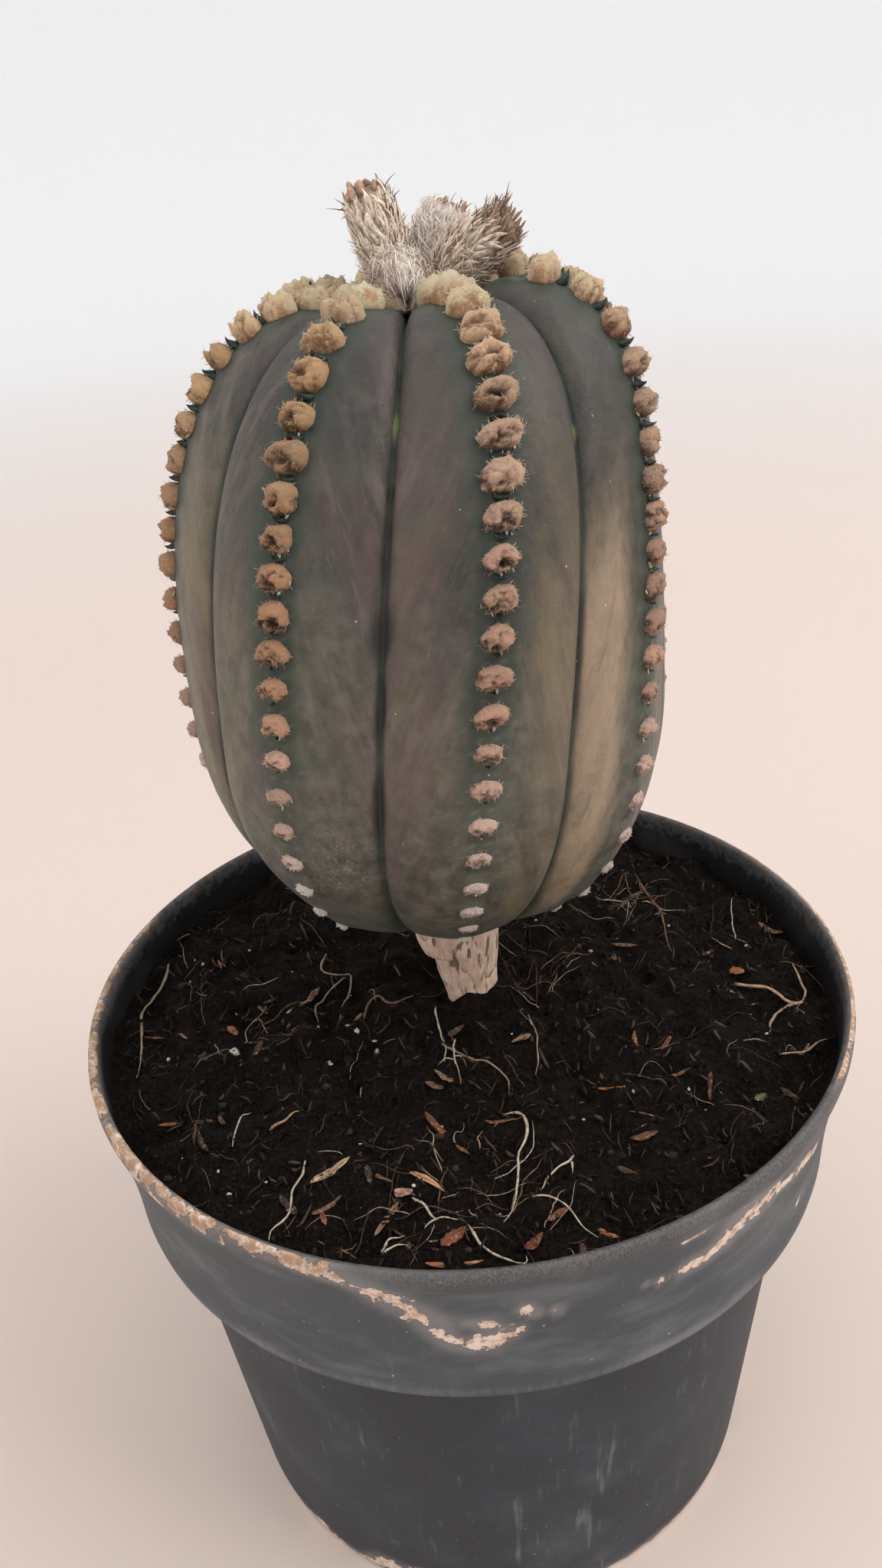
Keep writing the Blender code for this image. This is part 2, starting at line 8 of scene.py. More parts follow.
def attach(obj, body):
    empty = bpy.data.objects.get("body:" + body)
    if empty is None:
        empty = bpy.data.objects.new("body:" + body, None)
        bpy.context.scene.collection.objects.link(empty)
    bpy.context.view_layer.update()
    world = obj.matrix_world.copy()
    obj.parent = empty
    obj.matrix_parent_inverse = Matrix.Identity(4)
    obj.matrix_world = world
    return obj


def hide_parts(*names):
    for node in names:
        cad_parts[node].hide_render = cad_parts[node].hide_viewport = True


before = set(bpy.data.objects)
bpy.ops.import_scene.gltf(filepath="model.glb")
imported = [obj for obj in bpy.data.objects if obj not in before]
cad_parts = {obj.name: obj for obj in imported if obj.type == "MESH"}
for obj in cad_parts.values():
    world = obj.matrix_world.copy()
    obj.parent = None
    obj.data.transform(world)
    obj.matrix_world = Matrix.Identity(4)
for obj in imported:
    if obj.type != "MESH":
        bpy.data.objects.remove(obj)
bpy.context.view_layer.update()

# Pot
# A moulded polypropylene nursery pot in matt slate grey: a thin lip on a rim bead, a wide upper band that ends in a
# soft step, and a tapered body on a foot ring. Hard water has left a crust of lime on its lip and in runs down the
# band, soil clings to its inner wall, and handling has scuffed it. Its rounded edges at the lip and under the band
# are painted lighter: partly scuffs, partly painted highlight.
POT_HEIGHT = 0.1159
RIM_RADIUS = 0.075
BASE_RADIUS = 0.058
WAIST_RADIUS = 0.0656
WAIST_HEIGHT = 0.0815
BAND_RADIUS = 0.0713
BAND_HEIGHT = 0.0826
BEAD_HEIGHT = 0.0045
BEAD_PROUD = 0.0009
LIP_WIDTH = 0.0020
EDGE_ROUND = 0.0007
WALL = 0.0013
FLOOR_UNDERSIDE = 0.0025
FLOOR_TOP = 0.004
FOOT_WIDTH = 0.0048
DRAIN_RADIUS = 0.004
DRAIN_RING = 0.046
DRILL_SIDES = 24
DRAIN_COUNT = 8
CENTRE_DRAIN_RADIUS = 0.005
RIM_OVAL = 0.0087
RIM_OVAL_AZIMUTH = 0.6
BAND_HOLLOW = 0.0007
POT_COLUMNS = 360
FINE_STEP = 0.0011
COARSE_STEP = 0.006

# Runs of lime: azimuth in degrees to the right of the front, depth below the lip and half width in mm
LIME_RUNS = (
    ((-108, -1.4, 2.0), (-92, -1.4, 3.0), (-76, -1.4, 3.4), (-62, -1.2, 4.2), (-49, -1.0, 4.4), (-39, -0.8, 3.8),
     (-30, -0.4, 2.4), (-23, 0.4, 1.4), (-17, 1.8, 1.6), (-12.9, 3.8, 1.7), (-9.5, 6.9, 2.3), (-6.6, 10.7, 1.9),
     (-4.8, 14.2, 1.9), (-3.0, 18.2, 1.5), (-0.8, 19.2, 1.7), (2.0, 18.0, 2.4), (4.4, 16.6, 1.9), (5.8, 15.6, 0.6)),
    ((4.0, 16.0, 1.4), (1.8, 13.9, 1.1), (-0.6, 13.2, 0.8)),
    ((-80, 115.8, 0.5), (-50, 115.5, 0.9), (-30, 115.0, 1.3), (-24, 112.5, 2.6), (-16, 112.0, 2.4), (-9, 115.3, 1.1)),
    ((24, 115.5, 0.8), (36, 115.0, 1.5), (48, 115.1, 1.2), (66, 115.7, 0.6)),
    ((57.2, 12.9, 1.2), (50, 10.2, 1.7), (45, 9.6, 0.8), (42, 8.8, 2.3), (38, 8.6, 2.9), (35, 11.1, 2.2),
     (31.9, 13.0, 1.6), (27.7, 13.3, 1.6)),
    ((60, -0.2, 0.7), (68, 0.0, 1.4), (80, 0.2, 1.1), (90, 0.3, 1.5), (96, 0.3, 1.4)),
    ((6.4, 10.4, 1.1), (7.6, 12.4, 1.0)),
    ((10.2, 12.0, 0.9), (10.6, 13.6, 0.6)),
    ((22.1, 12.5, 0.8), (22.5, 13.2, 0.6)),
    ((24.2, 13.2, 0.9), (24.4, 14.9, 0.5)),
    ((27, 5.0, 0.7), (30, 4.6, 0.7)),
    ((53.7, 24.0, 0.5), (54.6, 21.6, 0.6)),
    ((96, 0.3, 1.4), (110, 0.2, 2.2), (128, 0.6, 1.9), (139, 4.2, 1.6), (145, 10.0, 1.9), (148, 15.5, 1.3)),
    ((176, 0.2, 1.2), (193, 0.3, 2.3), (206, 1.4, 1.6), (211, 7.0, 1.2)),
    ((164, 16.0, 1.4), (169, 18.2, 1.8), (175, 17.6, 1.1)),
)


def tint(code):
    """The linear colour of a screen code of six hex digits."""
    parts = np.array([int(code[at:at + 2], 16) for at in (0, 2, 4)]) / 255
    linear = np.where(parts <= 0.04045, parts / 12.92, ((parts + 0.055) / 1.055) ** 2.4)
    return (*(float(part) for part in linear), 1.0)


def tones(*codes):
    """The linear colours of several screen codes, one row each."""
    return np.array([tint(code)[:3] for code in codes])


class Wire:
    """A socket whose value varies over a surface: arithmetic on it adds Math nodes to its finish."""

    def __init__(self, finish, socket):
        self.finish = finish
        self.socket = socket

    def __add__(self, other):
        return self.finish.maths("ADD", self, other)

    def __sub__(self, other):
        return self.finish.maths("SUBTRACT", self, other)

    def __rsub__(self, other):
        return self.finish.maths("SUBTRACT", other, self)

    def __mul__(self, other):
        return self.finish.maths("MULTIPLY", self, other)

    def __pow__(self, other):
        return self.finish.maths("POWER", self, other)

    __radd__ = __add__
    __rmul__ = __mul__

    def step(self, low, high, bottom=0.0, top=1.0):
        """Rises smoothly from bottom to top as the value goes from low to high."""
        return self.finish.add("MapRange", {"interpolation_type": "SMOOTHSTEP"},
                               {"Value": self, "From Min": low, "From Max": high, "To Min": bottom, "To Max": top})


class Finish:
    """One material: a Principled shader with its constants, and the nodes that vary its colour, gloss and relief."""

    def __init__(self, name, specular, constants=None):
        self.material = bpy.data.materials.new(name)
        self.material.use_nodes = True
        self.tree = self.material.node_tree
        self.shader = self.tree.nodes["Principled BSDF"]
        for socket, value in {"Specular IOR Level": specular, **(constants or {})}.items():
            self.shader.inputs[socket].default_value = value
        self.place = self.add("TexCoord", output="Object")

    def add(self, kind, settings=None, inputs=None, output=0):
        """Adds a node: first its settings, then the values or links of its sockets; gives one of its outputs."""
        node = self.tree.nodes.new("ShaderNode" + kind)
        for setting, value in (settings or {}).items():
            setattr(node, setting, value)
        for socket, value in (inputs or {}).items():
            self.feed(node.inputs[socket], value)
        return Wire(self, node.outputs[output])

    def feed(self, socket, value):
        """Links a wire to a socket, or sets a plain value on it."""
        if isinstance(value, Wire):
            self.tree.links.new(value.socket, socket)
        else:
            socket.default_value = value

    def maths(self, operation, *values):
        """One Math node on wires and numbers."""
        return self.add("Math", {"operation": operation}, dict(enumerate(values)))

    def mix(self, share, under, over):
        """A colour that goes from under to over as the share goes from 0 to 1."""
        return self.add("Mix", {"data_type": "RGBA"}, {0: share, 6: under, 7: over}, 2)

    def layers(self, colour, *tints):
        """A colour with tints laid over it in turn, each by its share and with its screen code."""
        for share, code in tints:
            colour = self.mix(share, colour, tint(code))
        return colour

    def field(self, name, output="Fac"):
        """A value kept on the mesh's points."""
        return self.add("Attribute", {"attribute_name": name}, output=output)

    def pattern(self, kind, settings, stretch, place):
        """A pattern on a place, the object's own if none is given. A stretch multiplies it along each axis."""
        place = place or self.place
        if stretch:
            place = self.add("Mapping", None, {"Vector": place, "Scale": stretch})
        return self.add(kind, None, {"Vector": place, **settings})

    def noise(self, scale, detail=2.0, roughness=0.5, stretch=None, place=None):
        """Cloudy noise about 0.5, with a number of lumps to the metre."""
        return self.pattern("TexNoise", {"Scale": scale, "Detail": detail, "Roughness": roughness}, stretch, place)

    def cells(self, scale, stretch=None):
        """Distance to the nearest of scattered points, in shares of their spacing."""
        return self.pattern("TexVoronoi", {"Scale": scale}, stretch, None)

    def relief(self, height, depth, below=None):
        """Normals of a surface raised by a height of 0 to 1 times a depth in metres."""
        inputs = {"Height": height, "Distance": depth, "Strength": 1.0}
        if below is not None:
            inputs["Normal"] = below
        return self.add("Bump", None, inputs)

    def set(self, **sockets):
        """Feeds the shader's own sockets: colour, roughness, normal and the like."""
        names = {"colour": "Base Color", "roughness": "Roughness", "normal": "Normal"}
        for name, value in sockets.items():
            self.feed(self.shader.inputs[names[name]], value)


def make_piece(name, points, faces, finish, **fields):
    """A mesh object from arrays: points, face arrays of one size each, and values that vary from point to point."""
    points = np.ascontiguousarray(points, dtype=np.float32).reshape(-1, 3)
    corners = np.concatenate([group.ravel() for group in faces]).astype(np.int32)
    sizes = np.concatenate([np.full(len(group), group.shape[1]) for group in faces])
    mesh = bpy.data.meshes.new(name)
    mesh.vertices.add(len(points))
    mesh.vertices.foreach_set("co", points.ravel())
    mesh.loops.add(len(corners))
    mesh.loops.foreach_set("vertex_index", corners)
    mesh.polygons.add(len(sizes))
    mesh.polygons.foreach_set("loop_start", (np.cumsum(sizes) - sizes).astype(np.int32))
    mesh.polygons.foreach_set("use_smooth", np.ones(len(sizes), bool))
    for field, values in fields.items():
        values = np.ascontiguousarray(values, dtype=np.float32)
        vector = values.size == points.size
        layer = mesh.attributes.new(field, "FLOAT_VECTOR" if vector else "FLOAT", "POINT")
        layer.data.foreach_set("vector" if vector else "value", values.ravel())
    mesh.update(calc_edges=True)
    mesh.materials.append(finish.material)
    piece = bpy.data.objects.new(name, mesh)
    bpy.context.scene.collection.objects.link(piece)
    return piece


def lattice(places, seed):
    """A number from -1 to 1 at each whole-number place: its bits are mixed by multiplying, shifting and folding."""
    bits = (places * np.array([374761393, 668265263, 1103515245])).sum(-1) + seed * 69069
    bits = (bits & 0xFFFFFFFF) * 73244475 & 0xFFFFFFFF
    bits = ((bits >> 15) ^ bits) * 73244475 & 0xFFFFFFFF
    return ((bits >> 16) ^ bits) / 0x7FFFFFFF - 1


def lumps(points, size, seed=0):
    """Smooth noise from -1 to 1 with lumps of one size: the lattice's corner numbers, blended by 3t2 - 2t3."""
    places = np.asarray(points, float) / size
    low = np.floor(places).astype(np.int64)
    part = places - low
    part = part * part * (3 - 2 * part)
    total = 0
    for corner in np.ndindex(2, 2, 2):
        total = total + np.where(corner, part, 1 - part).prod(-1) * lattice(low + np.array(corner), seed)
    return total


def pot_outline():
    """The wall's closed outline, up the outside and down the inside, with cut corners.

    Each corner has the step that follows it: fine where crust, scuffs and painted edge highlights lie, coarse
    elsewhere."""
    bead_low = POT_HEIGHT - BEAD_HEIGHT
    fine, coarse = FINE_STEP, COARSE_STEP
    corners = np.array([
        (BASE_RADIUS - EDGE_ROUND, 0.0, fine), (BASE_RADIUS, EDGE_ROUND, fine),
        (BASE_RADIUS + 0.00085, 0.0095, coarse), (WAIST_RADIUS, WAIST_HEIGHT, fine),
        (BAND_RADIUS - EDGE_ROUND, BAND_HEIGHT - EDGE_ROUND / 2, fine),
        (BAND_RADIUS, BAND_HEIGHT + EDGE_ROUND / 2, fine), (RIM_RADIUS - BEAD_PROUD, bead_low, fine),
        (RIM_RADIUS, bead_low + BEAD_PROUD, fine), (RIM_RADIUS, POT_HEIGHT - EDGE_ROUND, fine),
        (RIM_RADIUS - EDGE_ROUND, POT_HEIGHT, fine), (RIM_RADIUS - LIP_WIDTH + EDGE_ROUND, POT_HEIGHT, fine),
        (RIM_RADIUS - LIP_WIDTH, POT_HEIGHT - EDGE_ROUND, fine), (RIM_RADIUS - BEAD_PROUD - WALL, bead_low, coarse),
        (BAND_RADIUS - WALL, BAND_HEIGHT + WALL, coarse), (WAIST_RADIUS - WALL, WAIST_HEIGHT + WALL, coarse),
        (BASE_RADIUS - WALL, FLOOR_TOP + EDGE_ROUND, coarse), (BASE_RADIUS - WALL - EDGE_ROUND, FLOOR_TOP, coarse),
        (CENTRE_DRAIN_RADIUS, FLOOR_TOP, coarse), (CENTRE_DRAIN_RADIUS, FLOOR_UNDERSIDE, coarse),
        (BASE_RADIUS - FOOT_WIDTH - EDGE_ROUND, FLOOR_UNDERSIDE, coarse), (BASE_RADIUS - FOOT_WIDTH, 0.0, coarse)])
    corners, step = corners[:, :2], corners[:, 2]
    after = np.roll(corners, -1, 0)
    reach = np.minimum(0.3, EDGE_ROUND * 1.6 / np.linalg.norm(after - corners, axis=1))[:, None]
    cut = np.stack([corners + (after - corners) * reach, after + (corners - after) * reach], 1).reshape(-1, 2)
    onward = np.roll(cut, -1, 0)
    steps = np.maximum(1, np.ceil(np.linalg.norm(onward - cut, axis=1) / np.repeat(step, 2))).astype(int)
    start = np.repeat(cut, steps, 0)
    share = (np.arange(steps.sum()) - np.repeat(np.cumsum(steps) - steps, steps)) / np.repeat(steps, steps)
    return start + (np.repeat(onward, steps, 0) - start) * share[:, None]


def oval(points):
    """Stretches points sideways by a cosine of twice the azimuth, growing with height: a slightly oval rim."""
    azimuth = np.arctan2(points[..., 1], points[..., 0])
    stretch = 1 + RIM_OVAL * np.cos(2 * (azimuth - RIM_OVAL_AZIMUTH)) * points[..., 2] / POT_HEIGHT
    return points * np.stack([stretch, stretch, np.ones_like(stretch)], -1)


def run_closeness(sideways, down, runs):
    """1 on a run's middle line, 0 at its edge and less beyond, for the nearest of runs of points with half widths."""
    best = np.full(sideways.shape, -9.0)
    for run in runs:
        for (x0, y0, w0), (x1, y1, w1) in zip(run, run[1:]):
            long_x, long_y = x1 - x0, y1 - y0
            share = np.clip(((sideways - x0) * long_x + (down - y0) * long_y) / (long_x ** 2 + long_y ** 2), 0, 1)
            gap = np.hypot(sideways - x0 - share * long_x, down - y0 - share * long_y)
            best = np.maximum(best, 1 - gap / (w0 + (w1 - w0) * share))
    return best


def bell(value, width):
    """A bell curve: 1 where the value is 0, and a third of that one width away."""
    return np.exp(-(value / width) ** 2)


def turned(radius, turn, height):
    """Points round the upright axis: a radius times the turn's cosine and sine, and a height."""
    return np.stack(np.broadcast_arrays(radius * np.cos(turn), radius * np.sin(turn), height), -1)


def even_turn(count):
    """Azimuths at even steps round a whole turn."""
    return math.tau * np.arange(count) / count


def ring_quads(rows, columns, loop=False):
    """Quads between rings of points, and from the last ring back to the first where they make a loop."""
    column = np.arange(columns)
    after = (column + 1) % columns
    row = np.arange(rows if loop else rows - 1)[:, None]
    start, onward = row * columns, (row + 1) % rows * columns
    return np.stack([start + column, start + after, onward + after, onward + column], -1).reshape(-1, 4)


outline = pot_outline()
pot_turn = even_turn(POT_COLUMNS)
outer_wall = (np.arange(len(outline)) <= np.argmax(outline[:, 1] >= POT_HEIGHT - 1e-6)) & (outline[:, 1] > 0.0004)
band_share = np.clip((outline[:, 1] - BAND_HEIGHT) / (POT_HEIGHT - BEAD_HEIGHT - BAND_HEIGHT), 0, 1)
pot_radius = outline[:, 0] - BAND_HOLLOW * np.sin(math.pi * band_share) * outer_wall
pot_points = np.stack([pot_radius[:, None] * np.sin(pot_turn), -pot_radius[:, None] * np.cos(pot_turn),
                       outline[:, 1, None] + 0 * pot_turn], -1)
pot_degrees = np.degrees(np.arctan2(pot_points[..., 0], -pot_points[..., 1]))
below_lip = (POT_HEIGHT - pot_points[..., 2]) * 1000
below_lip = np.where(outer_wall[:, None], below_lip, -2 * (RIM_RADIUS - pot_radius[:, None]) * 1000 - below_lip)
# Degrees round the lip become mm along a circle of 72 mm radius
MM_PER_DEGREE = 72 * math.radians(1)
lime_runs_mm = [[(azimuth * MM_PER_DEGREE, down, half) for azimuth, down, half in run] for run in LIME_RUNS]
lime = np.maximum(run_closeness(pot_degrees * MM_PER_DEGREE, below_lip, lime_runs_mm),
                  run_closeness((pot_degrees + 360) * MM_PER_DEGREE, below_lip, lime_runs_mm))
foot_lime = 0.75 - pot_points[..., 2] / 0.0030 + 1.2 * lumps(pot_points, 0.024, 3)
lime = np.maximum(lime, np.where(outer_wall[:, None] & (pot_points[..., 2] < 0.009), foot_lime, -9))
lime = np.clip(lime, -1.5, 1)
# Painted highlight with scuffs: lighter along the band's rounded lower edge and round the lip, where light catches
# the edges and handling rubs them
scuff = bell(pot_points[..., 2] - BAND_HEIGHT - 0.0012, 0.0016) * outer_wall[:, None]
scuff += 0.15 * bell(pot_points[..., 2] - POT_HEIGHT, 0.0016)
inner_wall = np.broadcast_to(~outer_wall[:, None] & (outline[:, 1, None] > FLOOR_TOP), lime.shape) * 1.0

plastic = Finish("slate_plastic", 0.30)
cloud = plastic.noise(45, 4, 0.6)
upright = plastic.noise(1100, 3, 0.6, (1, 1, 0.07))
level_smear = plastic.noise(130, 4, 0.6, (0.35, 0.35, 1))
dust = plastic.noise(2400, 3, 0.7)
scrapes = plastic.noise(420, 3, 0.5, (1, 1, 0.035))
speck = plastic.cells(260).step(0.075, 0.05)
height = plastic.add("SeparateXYZ", None, {0: plastic.place}, 2)
on_band, on_lip = height.step(0.080, 0.084), height.step(0.1125, 0.1150)
scuffed = (plastic.field("scuff") * (level_smear * 2 + upright - 0.95)).step(0.1, 0.8)
soil_dust = (plastic.noise(600, 5, 0.75) + height.step(0.1140, 0.1085, 0, 0.3)).step(0.42, 0.62)
crust_edge = plastic.noise(520, 5, 0.72)
crust_patches = plastic.noise(190, 3, 0.6)
crust_tone = plastic.noise(700, 4, 0.6)
lime_level = plastic.field("lime")
crust = (lime_level + (crust_edge - 0.5) * 3.0 + (crust_patches - 0.5) * 4.0).step(0.24, 0.36)
colour = plastic.layers(
    plastic.mix(cloud.step(0.35, 0.7), tint("242b33"), tint("323a42")),
    (upright.step(0.62, 0.78) * 0.30, "7d8182"),
    (scrapes.step(0.60, 0.72) * cloud.step(0.45, 0.6) * 0.35, "8a8d8e"),
    (on_band * 0.5, "565b5f"),
    (level_smear.step(0.46, 0.72) * on_band * 0.3, "85898b"),
    # painted highlight and scuffs on the rounded edges
    (scuffed * 0.45, "85888a"),
    (speck * dust.step(0.50, 0.58) * 0.8, "c6c6c2"),
    (plastic.field("inside") * soil_dust * 0.93, "14100e"),
    ((lime_level + (cloud - 0.5) * 3.0).step(-1.5, 0.6) * 0.5, "95908f"),
    (on_lip * dust.step(0.40, 0.60) * 0.5, "7e6c5e"))
lime_tone = plastic.mix(crust_tone.step(0.36, 0.58), tint("c4a48c"), tint("e6d2c4"))
lime_tone = plastic.mix(on_lip * crust_edge.step(0.35, 0.6), lime_tone, tint("a5846a"))
plastic.set(colour=plastic.mix(crust, colour, lime_tone), roughness=0.46 + 0.18 * cloud + crust * 0.25,
            normal=plastic.relief(crust * (0.35 + crust_tone * 0.65), 0.0005,
                                  plastic.relief(upright * 0.5 + dust * 0.5, 0.00005)))
pot = make_piece("pot_shell", oval(pot_points), [ring_quads(*lime.shape, True)], plastic, lime=lime, scuff=scuff,
                 inside=inner_wall)
drill_turn = even_turn(DRILL_SIDES)
drill_axis = math.tau * (np.arange(DRAIN_COUNT) + 0.5) / DRAIN_COUNT
drill_rings = np.array([-0.002, 0.008])
drill_points = turned(DRAIN_RADIUS, drill_turn, drill_rings[:, None])
drill_points = (turned(DRAIN_RING, drill_axis, 0.0)[:, None, None] + drill_points).reshape(DRAIN_COUNT, -1, 3)
drill_ends = turned(DRAIN_RING, drill_axis[:, None], drill_rings)


def closed_faces(rows, columns, copies=1):
    """Faces of closed forms made of rings: quads between rings, and fans to the two end points, which come last."""
    column = np.arange(columns)
    after = (column + 1) % columns
    foot = np.full(columns, rows * columns)
    last = (rows - 1) * columns
    fans = np.concatenate([np.stack([after, column, foot], -1),
                           np.stack([last + column, last + after, foot + 1], -1)])
    shift = np.arange(copies)[:, None, None] * (rows * columns + 2)
    return [(ring_quads(rows, columns) + shift).reshape(-1, 4), (fans + shift).reshape(-1, 3)]


drills = make_piece("drills", np.concatenate([drill_points, drill_ends], 1),
                    closed_faces(2, DRILL_SIDES, DRAIN_COUNT), plastic)
bore = pot.modifiers.new("drain holes", "BOOLEAN")
bore.operation = "DIFFERENCE"
bore.object = drills
drilled = bpy.data.meshes.new_from_object(pot.evaluated_get(bpy.context.evaluated_depsgraph_get()))
pot.modifiers.clear()
pot.data = drilled
bpy.data.objects.remove(drills)
pot.data.name = "pot_shell"
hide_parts("pot")
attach(pot, "root")

# Soil
# Dark damp peat, filled to about 9 mm below the rim. Its top is all crumbs, black threads of plant fibre and small
# clods, uneven by a millimetre or two and a little lower along the wall.
SOIL_LEVEL = POT_HEIGHT - 0.009
SOIL_WAVES = ((0.0009, 310, 60, 0.0), (0.0008, -120, 290, 0.7), (0.0006, 720, 260, 1.9), (0.0006, -210, 640, 2.0))
SOIL_EDGE = 0.0727
SOIL_REACH = 0.0722
SOIL_RINGS = 112
SOIL_COLUMNS = 340
CRUMB_COUNT = 2400
THREAD_COUNT = 2500
THREAD_STATIONS = 4
THREAD_SIDES = 3
SEAT_GAP = 0.0003


def ground(x, y):
    """The soil's height: four crossing waves, and lumps of 7, 3 and 1.3 mm, each lower in between than on top."""
    level = SOIL_LEVEL + sum(size * np.sin(x * along + y * across + shift)
                             for size, along, across, shift in SOIL_WAVES)
    flat = np.stack([x, y, 0 * x], -1)
    calm = np.clip((SOIL_REACH - np.hypot(x, y)) / 0.005, 0.2, 1)
    for size, height, seed in ((0.0075, 0.0007, 11), (0.0031, 0.0008, 12), (0.0013, 0.00045, 13)):
        level = level + height * calm * (0.5 - np.abs(lumps(flat, size, seed))) * 1.4
    return level


share = (np.arange(SOIL_RINGS) + 1) / SOIL_RINGS
soil_turn = even_turn(SOIL_COLUMNS)
top_radius = (SOIL_EDGE * share[::-1])[:, None]
soil_top = turned(top_radius, soil_turn, 0.0)
soil_top[..., 2] = ground(soil_top[..., 0], soil_top[..., 1])
wall_radius = np.array([BASE_RADIUS - EDGE_ROUND, BASE_RADIUS, WAIST_RADIUS, BAND_RADIUS]) - WALL - SEAT_GAP
wall_height = np.array([FLOOR_TOP, FLOOR_TOP + EDGE_ROUND, WAIST_HEIGHT + WALL, BAND_HEIGHT + WALL]) + SEAT_GAP
soil_wall = turned(wall_radius[:, None], soil_turn, wall_height[:, None])
soil_points = oval(np.concatenate([soil_wall, soil_top])).reshape(-1, 3)
centre_height = float(ground(np.zeros(1), np.zeros(1))[0])
soil_points = np.concatenate([soil_points, [(0, 0, FLOOR_TOP + SEAT_GAP), (0, 0, centre_height)]])

peat = Finish("damp_peat", 0.10)
clod = peat.noise(220, 4, 0.6)
crumb_grain = peat.noise(1400, 5, 0.75)
fine_grain = peat.noise(3600, 3, 0.7)
colour = peat.layers(
    peat.mix(crumb_grain.step(0.42, 0.74), tint("040303"), tint("33281f")),
    (clod.step(0.5, 0.75) * 0.4, "2a201b"),
    (fine_grain.step(0.56, 0.70) * 0.6, "4c3e34"),
    (peat.cells(420).step(0.10, 0.05) * crumb_grain.step(0.5, 0.6) * 0.8, "7a5b45"))
peat.set(colour=colour, roughness=crumb_grain.step(0.2, 0.8, 0.55, 0.95),
         normal=peat.relief(crumb_grain * 0.7 + fine_grain * 0.3, 0.0012))
soil = make_piece("soil_fill", soil_points, closed_faces(SOIL_RINGS + 4, SOIL_COLUMNS), peat)
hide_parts("soil")
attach(soil, "root")


def scatter(count, draw, inner=0.007, outer=0.071):
    """Random places on the soil, clear of the neck: radius by the root of an even share, azimuth even."""
    reach = np.sqrt(draw.uniform((inner / outer) ** 2, 1, count)) * outer
    turn = draw.uniform(0, math.tau, count)
    return reach * np.cos(turn), reach * np.sin(turn)


draw = np.random.default_rng(21)
golden = (1 + math.sqrt(5)) / 2
ball = np.array([(-1, golden, 0), (1, golden, 0), (-1, -golden, 0), (1, -golden, 0), (0, -1, golden), (0, 1, golden),
                 (0, -1, -golden), (0, 1, -golden), (golden, 0, -1), (golden, 0, 1), (-golden, 0, -1),
                 (-golden, 0, 1)]) / math.hypot(1, golden)
ball_faces = np.array([(0, 11, 5), (0, 5, 1), (0, 1, 7), (0, 7, 10), (0, 10, 11), (1, 5, 9), (5, 11, 4), (11, 10, 2),
                       (10, 7, 6), (7, 1, 8), (3, 9, 4), (3, 4, 2), (3, 2, 6), (3, 6, 8), (3, 8, 9), (4, 9, 5),
                       (2, 4, 11), (6, 2, 10), (8, 6, 7), (9, 8, 1)])


def pebbles(x, y, radius, draw, flatness=0.75):
    """Twelve-cornered grains at places on the soil: a ball squashed at random, its corners pushed in or out."""
    count = len(x)
    squash = draw.uniform(0.6, 1.25, (count, 1, 3)) * np.array([1, 1, flatness])
    corners = ball * squash * draw.uniform(0.6, 1.35, (count, 12, 1)) * radius[:, None, None]
    centre = np.stack([x, y, ground(x, y) + radius * 0.25], -1)
    return centre[:, None] + corners, (ball_faces + 12 * np.arange(count)[:, None, None]).reshape(-1, 3)


crumb_x, crumb_y = scatter(CRUMB_COUNT, draw)
crumb_radius = 0.00025 + 0.0006 * draw.random(CRUMB_COUNT) ** 4
crumb_points, crumb_faces = pebbles(crumb_x, crumb_y, crumb_radius, draw)
crumb_tone = np.repeat(draw.uniform(0, 0.8, CRUMB_COUNT) ** 3, 12)
crumb_finish = Finish("peat_crumbs", 0.12)
crumb_noise = crumb_finish.noise(2200, 3, 0.7)
colour = crumb_finish.mix(crumb_finish.field("tone"), tint("080606"), tint("54463c"))
colour = crumb_finish.mix(crumb_noise.step(0.5, 0.8) * 0.4, colour, tint("3e3028"))
crumb_finish.set(colour=colour, roughness=0.85, normal=crumb_finish.relief(crumb_noise, 0.0003))
crumbs = make_piece("soil_crumbs", crumb_points, [crumb_faces], crumb_finish, tone=crumb_tone)
crumbs.data.polygons.foreach_set("use_smooth", np.zeros(len(crumbs.data.polygons), bool))
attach(crumbs, "root")


def unit(vectors):
    """Vectors brought to length 1."""
    return vectors / (np.linalg.norm(vectors, axis=-1, keepdims=True) + 1e-12)


def strands(paths, wide, thick, sides, facing=(0.0, 0.0, 1.0)):
    """Closed strands along paths: at each station a ring stands square to the path, a cosine times the half width
    across it and a sine times the half thickness towards the facing side. End points close it."""
    along = unit(np.gradient(paths, axis=1))
    across = unit(np.cross(np.broadcast_to(facing, along.shape), along))
    upward = np.cross(along, across)
    turn = even_turn(sides)
    ring = across[:, :, None] * (wide[..., None] * np.cos(turn))[..., None]
    ring = ring + upward[:, :, None] * (thick[..., None] * np.sin(turn))[..., None]
    rings = (paths[:, :, None] + ring).reshape(len(paths), -1, 3)
    return np.concatenate([rings, paths[:, :1], paths[:, -1:]], 1)


def per_point(values, sides):
    """Values of the stations of strands, repeated for each station's ring and for the two end points."""
    return np.concatenate([np.repeat(values, sides, axis=1), values[:, :1], values[:, -1:]], 1)


def bundle(name, paths, wide, flat, sides, finish, facing=(0.0, 0.0, 1.0), **fields):
    """A piece made of strands whose half thickness is a share of their half width, with values for each strand, or
    for each of its stations."""
    stations = paths.shape[1]
    fields = {field: per_point(values, sides) if values.shape == paths.shape[:2]
              else np.repeat(values, sides * stations + 2, 0) for field, values in fields.items()}
    return make_piece(name, strands(paths, wide, wide * flat, sides, facing),
                      closed_faces(stations, sides, len(paths)), finish, **fields)


